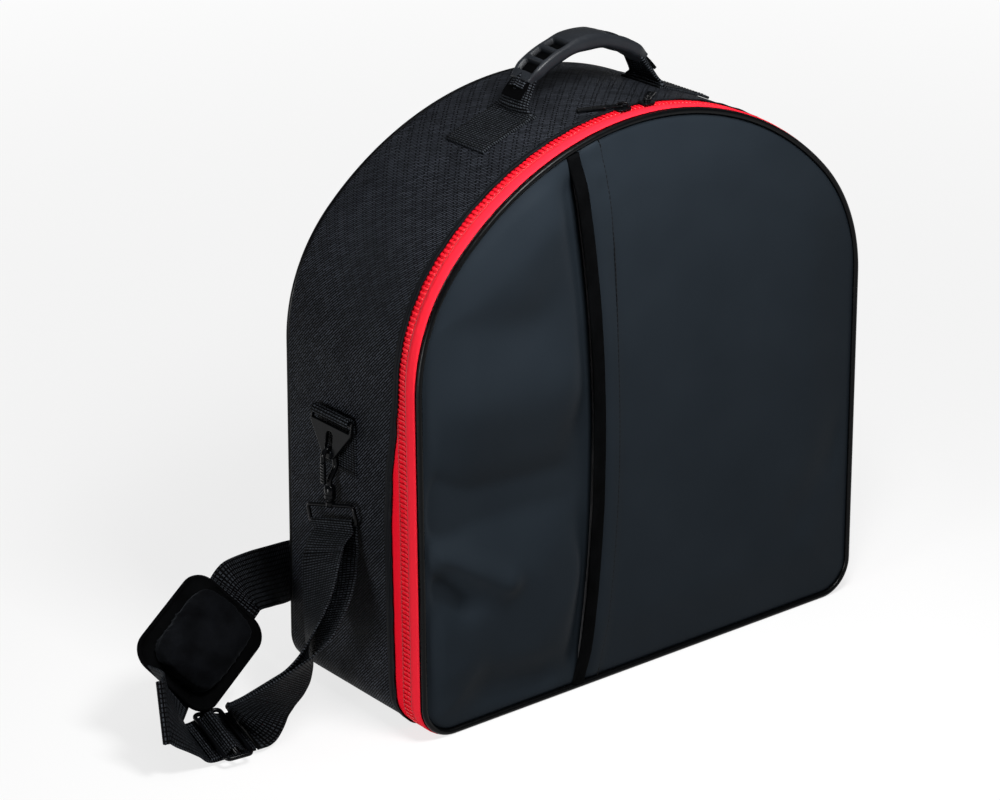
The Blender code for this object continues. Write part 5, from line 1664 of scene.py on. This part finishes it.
def makeAdjuster():
    half, lift = adjuster["length"] / 2, adjuster["lift"]
    outline = roundedLoop(adjuster["span"] / 2, half, adjuster["corner"], 5)
    corners = [adjusterPlace(x, y, lift) for x, y in outline]
    outer = wire("adjusterFrameWire", corners, adjuster["wire"], closed=True, sides=12)
    ends = [adjusterPlace(0.0, side * half, lift) for side in (-1, 1)]
    bar = wire("adjusterBar", [ends[0], ends[0].lerp(ends[1], 0.5), ends[1]], adjuster["wire"], sides=12)
    made = joined("adjusterFrame", [outer, bar])
    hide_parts("strap_adjuster")
    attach(made, "adjuster")
    # the webbing rises through the frame and over its bar
    reach = strap["wrapReach"]
    low = strap["webbing"] + adjuster["gap"]
    crest = lift + adjuster["wire"] + adjuster["gap"] + strap["webbing"] / 2
    inner = adjuster["span"] / 2 - adjuster["wire"] - 2 * adjuster["gap"] - strap["webbing"]
    rising = ((-reach, 0.0), (-0.8 * reach, 0.0), (-0.9 * inner, 0.35), (-0.4 * inner, 0.9))
    falling = tuple((-along, height) for along, height in reversed(rising))
    points = []
    for along, height in (*rising, (0.0, 1.0), *falling):
        points.append(adjusterPlace(along, strap["wrapShift"], low + (crest - low) * height))
    path, columns = smoothCurve(points, 4), strap["columns"]
    strip, _ = stripAlong("adjusterWebbing", path, strapAcross, strap["width"], strap["webbing"], columns)
    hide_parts("adjuster_wrap")
    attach(strip, "adjuster")


def makePad():
    centre = strapPlace(*pad["share"])
    across = (pad["across"] - pad["along"] * pad["across"].dot(pad["along"])).normalized()
    front = across.cross(pad["along"]).normalized()
    sleeveHalf = pad["sleeve"] / 2
    baseLow = sleeveHalf + pad["gap"]
    seat = seatAt(centre, pad["along"], across, -front)
    # base: two layers of cloth, with a bound edge
    loop = roundedLoop(pad["length"] / 2, pad["width"] / 2, pad["corner"], 8)
    rings = [(1.0, 0.0), (0.97, 0.0), (0.93, 0.0004), (0.90, 0.0002), (0.6, 0.0), (0.02, 0.0)]
    verts, faces, size = [], [], len(loop)
    for share, sunk in rings:
        verts += [seat @ Vector((x * share, y * share, -baseLow - pad["base"] + sunk)) for x, y in loop]
    flat = [(x * share, y * share) for share, _ in rings for x, y in loop]
    for i in range(len(rings) - 1):
        for k in range(size):
            n = (k + 1) % size
            faces.append((i * size + k, i * size + n, (i + 1) * size + n, (i + 1) * size + k))
    faces.append(tuple((len(rings) - 1) * size + k for k in range(size)))
    uvs = [[flat[v] for v in face] for face in faces]
    base = settleNormals(meshObject("padBase", verts, faces, knit, uvs))
    facing = sum((p.normal for p in base.data.polygons), Vector())
    if facing.dot(front) < 0:
        base.data.flip_normals()
    thicken(base, pad["base"])
    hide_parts("pad_base")
    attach(base, "pad")
    inset = 0.0006
    rim = roundedLoop(pad["length"] / 2 - inset, pad["width"] / 2 - inset, pad["corner"] - inset, 10)
    rim = [seat @ Vector((x, y, -baseLow - pad["base"] / 2)) for x, y in rim]
    line = []
    for k, place in enumerate(rim):
        run = (rim[(k + 1) % len(rim)] - rim[k - 1]).normalized()
        line.append((place, run.cross(front).normalized(), front))
    edge = sweep("padEdge", line, circle(pad["cord"], 12, 1.25), knit, closed=True, round=True)
    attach(edge, "pad")
    makeCushion(seat, front, baseLow)
    # sleeve behind, with the strap through it
    spare = 0.0007
    outer = roundedLoop(pad["sleeveWidth"] / 2, sleeveHalf, sleeveHalf * 0.6, 3)
    inner = roundedLoop(strap["width"] / 2 + spare, strap["webbing"] / 2 + spare, 0.0006, 3)
    turn = seatAt(centre, across, -front, pad["along"])
    length = pad["length"] - 2 * pad["rim"]
    sleeve = plateOf("padSleeve", [outer, inner], length, pad["sleeveEdge"], knit, turn)
    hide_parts("pad_sleeve")
    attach(sleeve, "pad")


cushion = {
    "voxel": 0.0026, "pressure": 4.0, "stiffness": 30.0, "frames": 18, "cap": 0.0035, "cuts": 7, "corner": 0.17,
    "start": 0.94, "foot": 1.12, "face": 1.02, "held": 0.0012,
}


def blowUp(made, seat, front, baseLow):
    # a cloth simulation, whose reach is capped and which leaves the foot of the cushion on its base
    start = [vertex.co.copy() for vertex in made.data.vertices]
    blow = made.modifiers.new("blow", "CLOTH")
    blow.settings.use_pressure = True
    blow.settings.uniform_pressure_force = cushion["pressure"]
    blow.settings.effector_weights.gravity = 0.0
    blow.settings.tension_stiffness = cushion["stiffness"]
    for number in range(1, cushion["frames"] + 1):
        scene.frame_set(number)
    blown = asMade(made)
    made.modifiers.clear()
    made.data = blown
    scene.frame_set(1)
    for vertex, was in zip(blown.vertices, start):
        move = vertex.co - was
        if move.length > cushion["cap"]:
            move *= cushion["cap"] / move.length
        behind = (was - seat.translation).dot(front) - baseLow - pad["base"]
        if behind < cushion["held"]:
            move -= front * move.dot(front)
        vertex.co = was + move


def makeCushion(seat, front, baseLow):
    # a low block of small cells, blown up like a filled bag
    shape = bmesh.new()
    bmesh.ops.create_cube(shape, size=1.0)
    bmesh.ops.subdivide_edges(shape, edges=shape.edges, cuts=cushion["cuts"], use_grid_fill=True)
    length, width = pad["length"] - 2 * pad["rim"], pad["width"] - 2 * pad["rim"]
    top = -baseLow - pad["base"] - 0.0002
    for vertex in shape.verts:
        x, y, z = vertex.co
        size = 1 - cushion["corner"] * (4 * x * y) ** 2
        size *= cushion["foot"] if z > 0.4 else cushion["face"]
        vertex.co = (x * length * size, y * width * size, top + (z - 0.5) * pad["crown"] * cushion["start"])
    mesh = bpy.data.meshes.new("padCushion")
    shape.to_mesh(mesh)
    shape.free()
    mesh.transform(seat)
    made = placed("padCushion", mesh)
    skin = made.modifiers.new("skin", "REMESH")
    skin.mode = "VOXEL"
    skin.voxel_size = cushion["voxel"]
    rest = asMade(made)
    made.modifiers.clear()
    made.data = rest
    rest.materials.clear()
    rest.materials.append(velour)
    blowUp(made, seat, front, baseLow)
    softened(made.data)
    ease = made.modifiers.new("finer", "SUBSURF")
    ease.levels = ease.render_levels = 1
    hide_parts("pad_cushion")
    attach(made, "pad")


# put it together
makeCamera()
makeStage()
print("camera and stage ready")
makeGusset()
makeHem()
makeBack()
makePiping("backPiping", bag["back"] - bag["piping"], True, "back_piping", "bag")
makePiping("lidPiping", bag["front"], False, "lid_piping", "lid")
print("body made")
makeLid()
makeZip()
for hand in (-1, 1):
    makeSlider(hand)
print("lid and zip made")
makeGrip()
for hand in (-1, 1):
    makeHandleWebbing(hand)
    makeChape(hand)
    makeClip(hand)
print("handle and clips made")
makeStrapDrop()
makeStrapRun()
makeAdjuster()
makePad()
bpy.data.objects.remove(stitch)
print("strap and pad made")

carried = {
    "gusset_foam": foamGrey, "back_foam": foamGrey, "lid_foam": foamGrey, "base_board": board,
    "gusset_lining": liningCloth, "base_lining": liningCloth, "back_lining": liningCloth, "lid_lining": liningCloth,
    "base_panel": nylon, "handle_core": webbing,
}
for node, finish in carried.items():
    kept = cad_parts[node]
    kept.data.materials.clear()
    kept.data.materials.append(finish)
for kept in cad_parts.values():
    if not kept.hide_render and kept.name not in carried:
        print("node without a finish:", kept.name)

scene.view_settings.view_transform = "Standard"
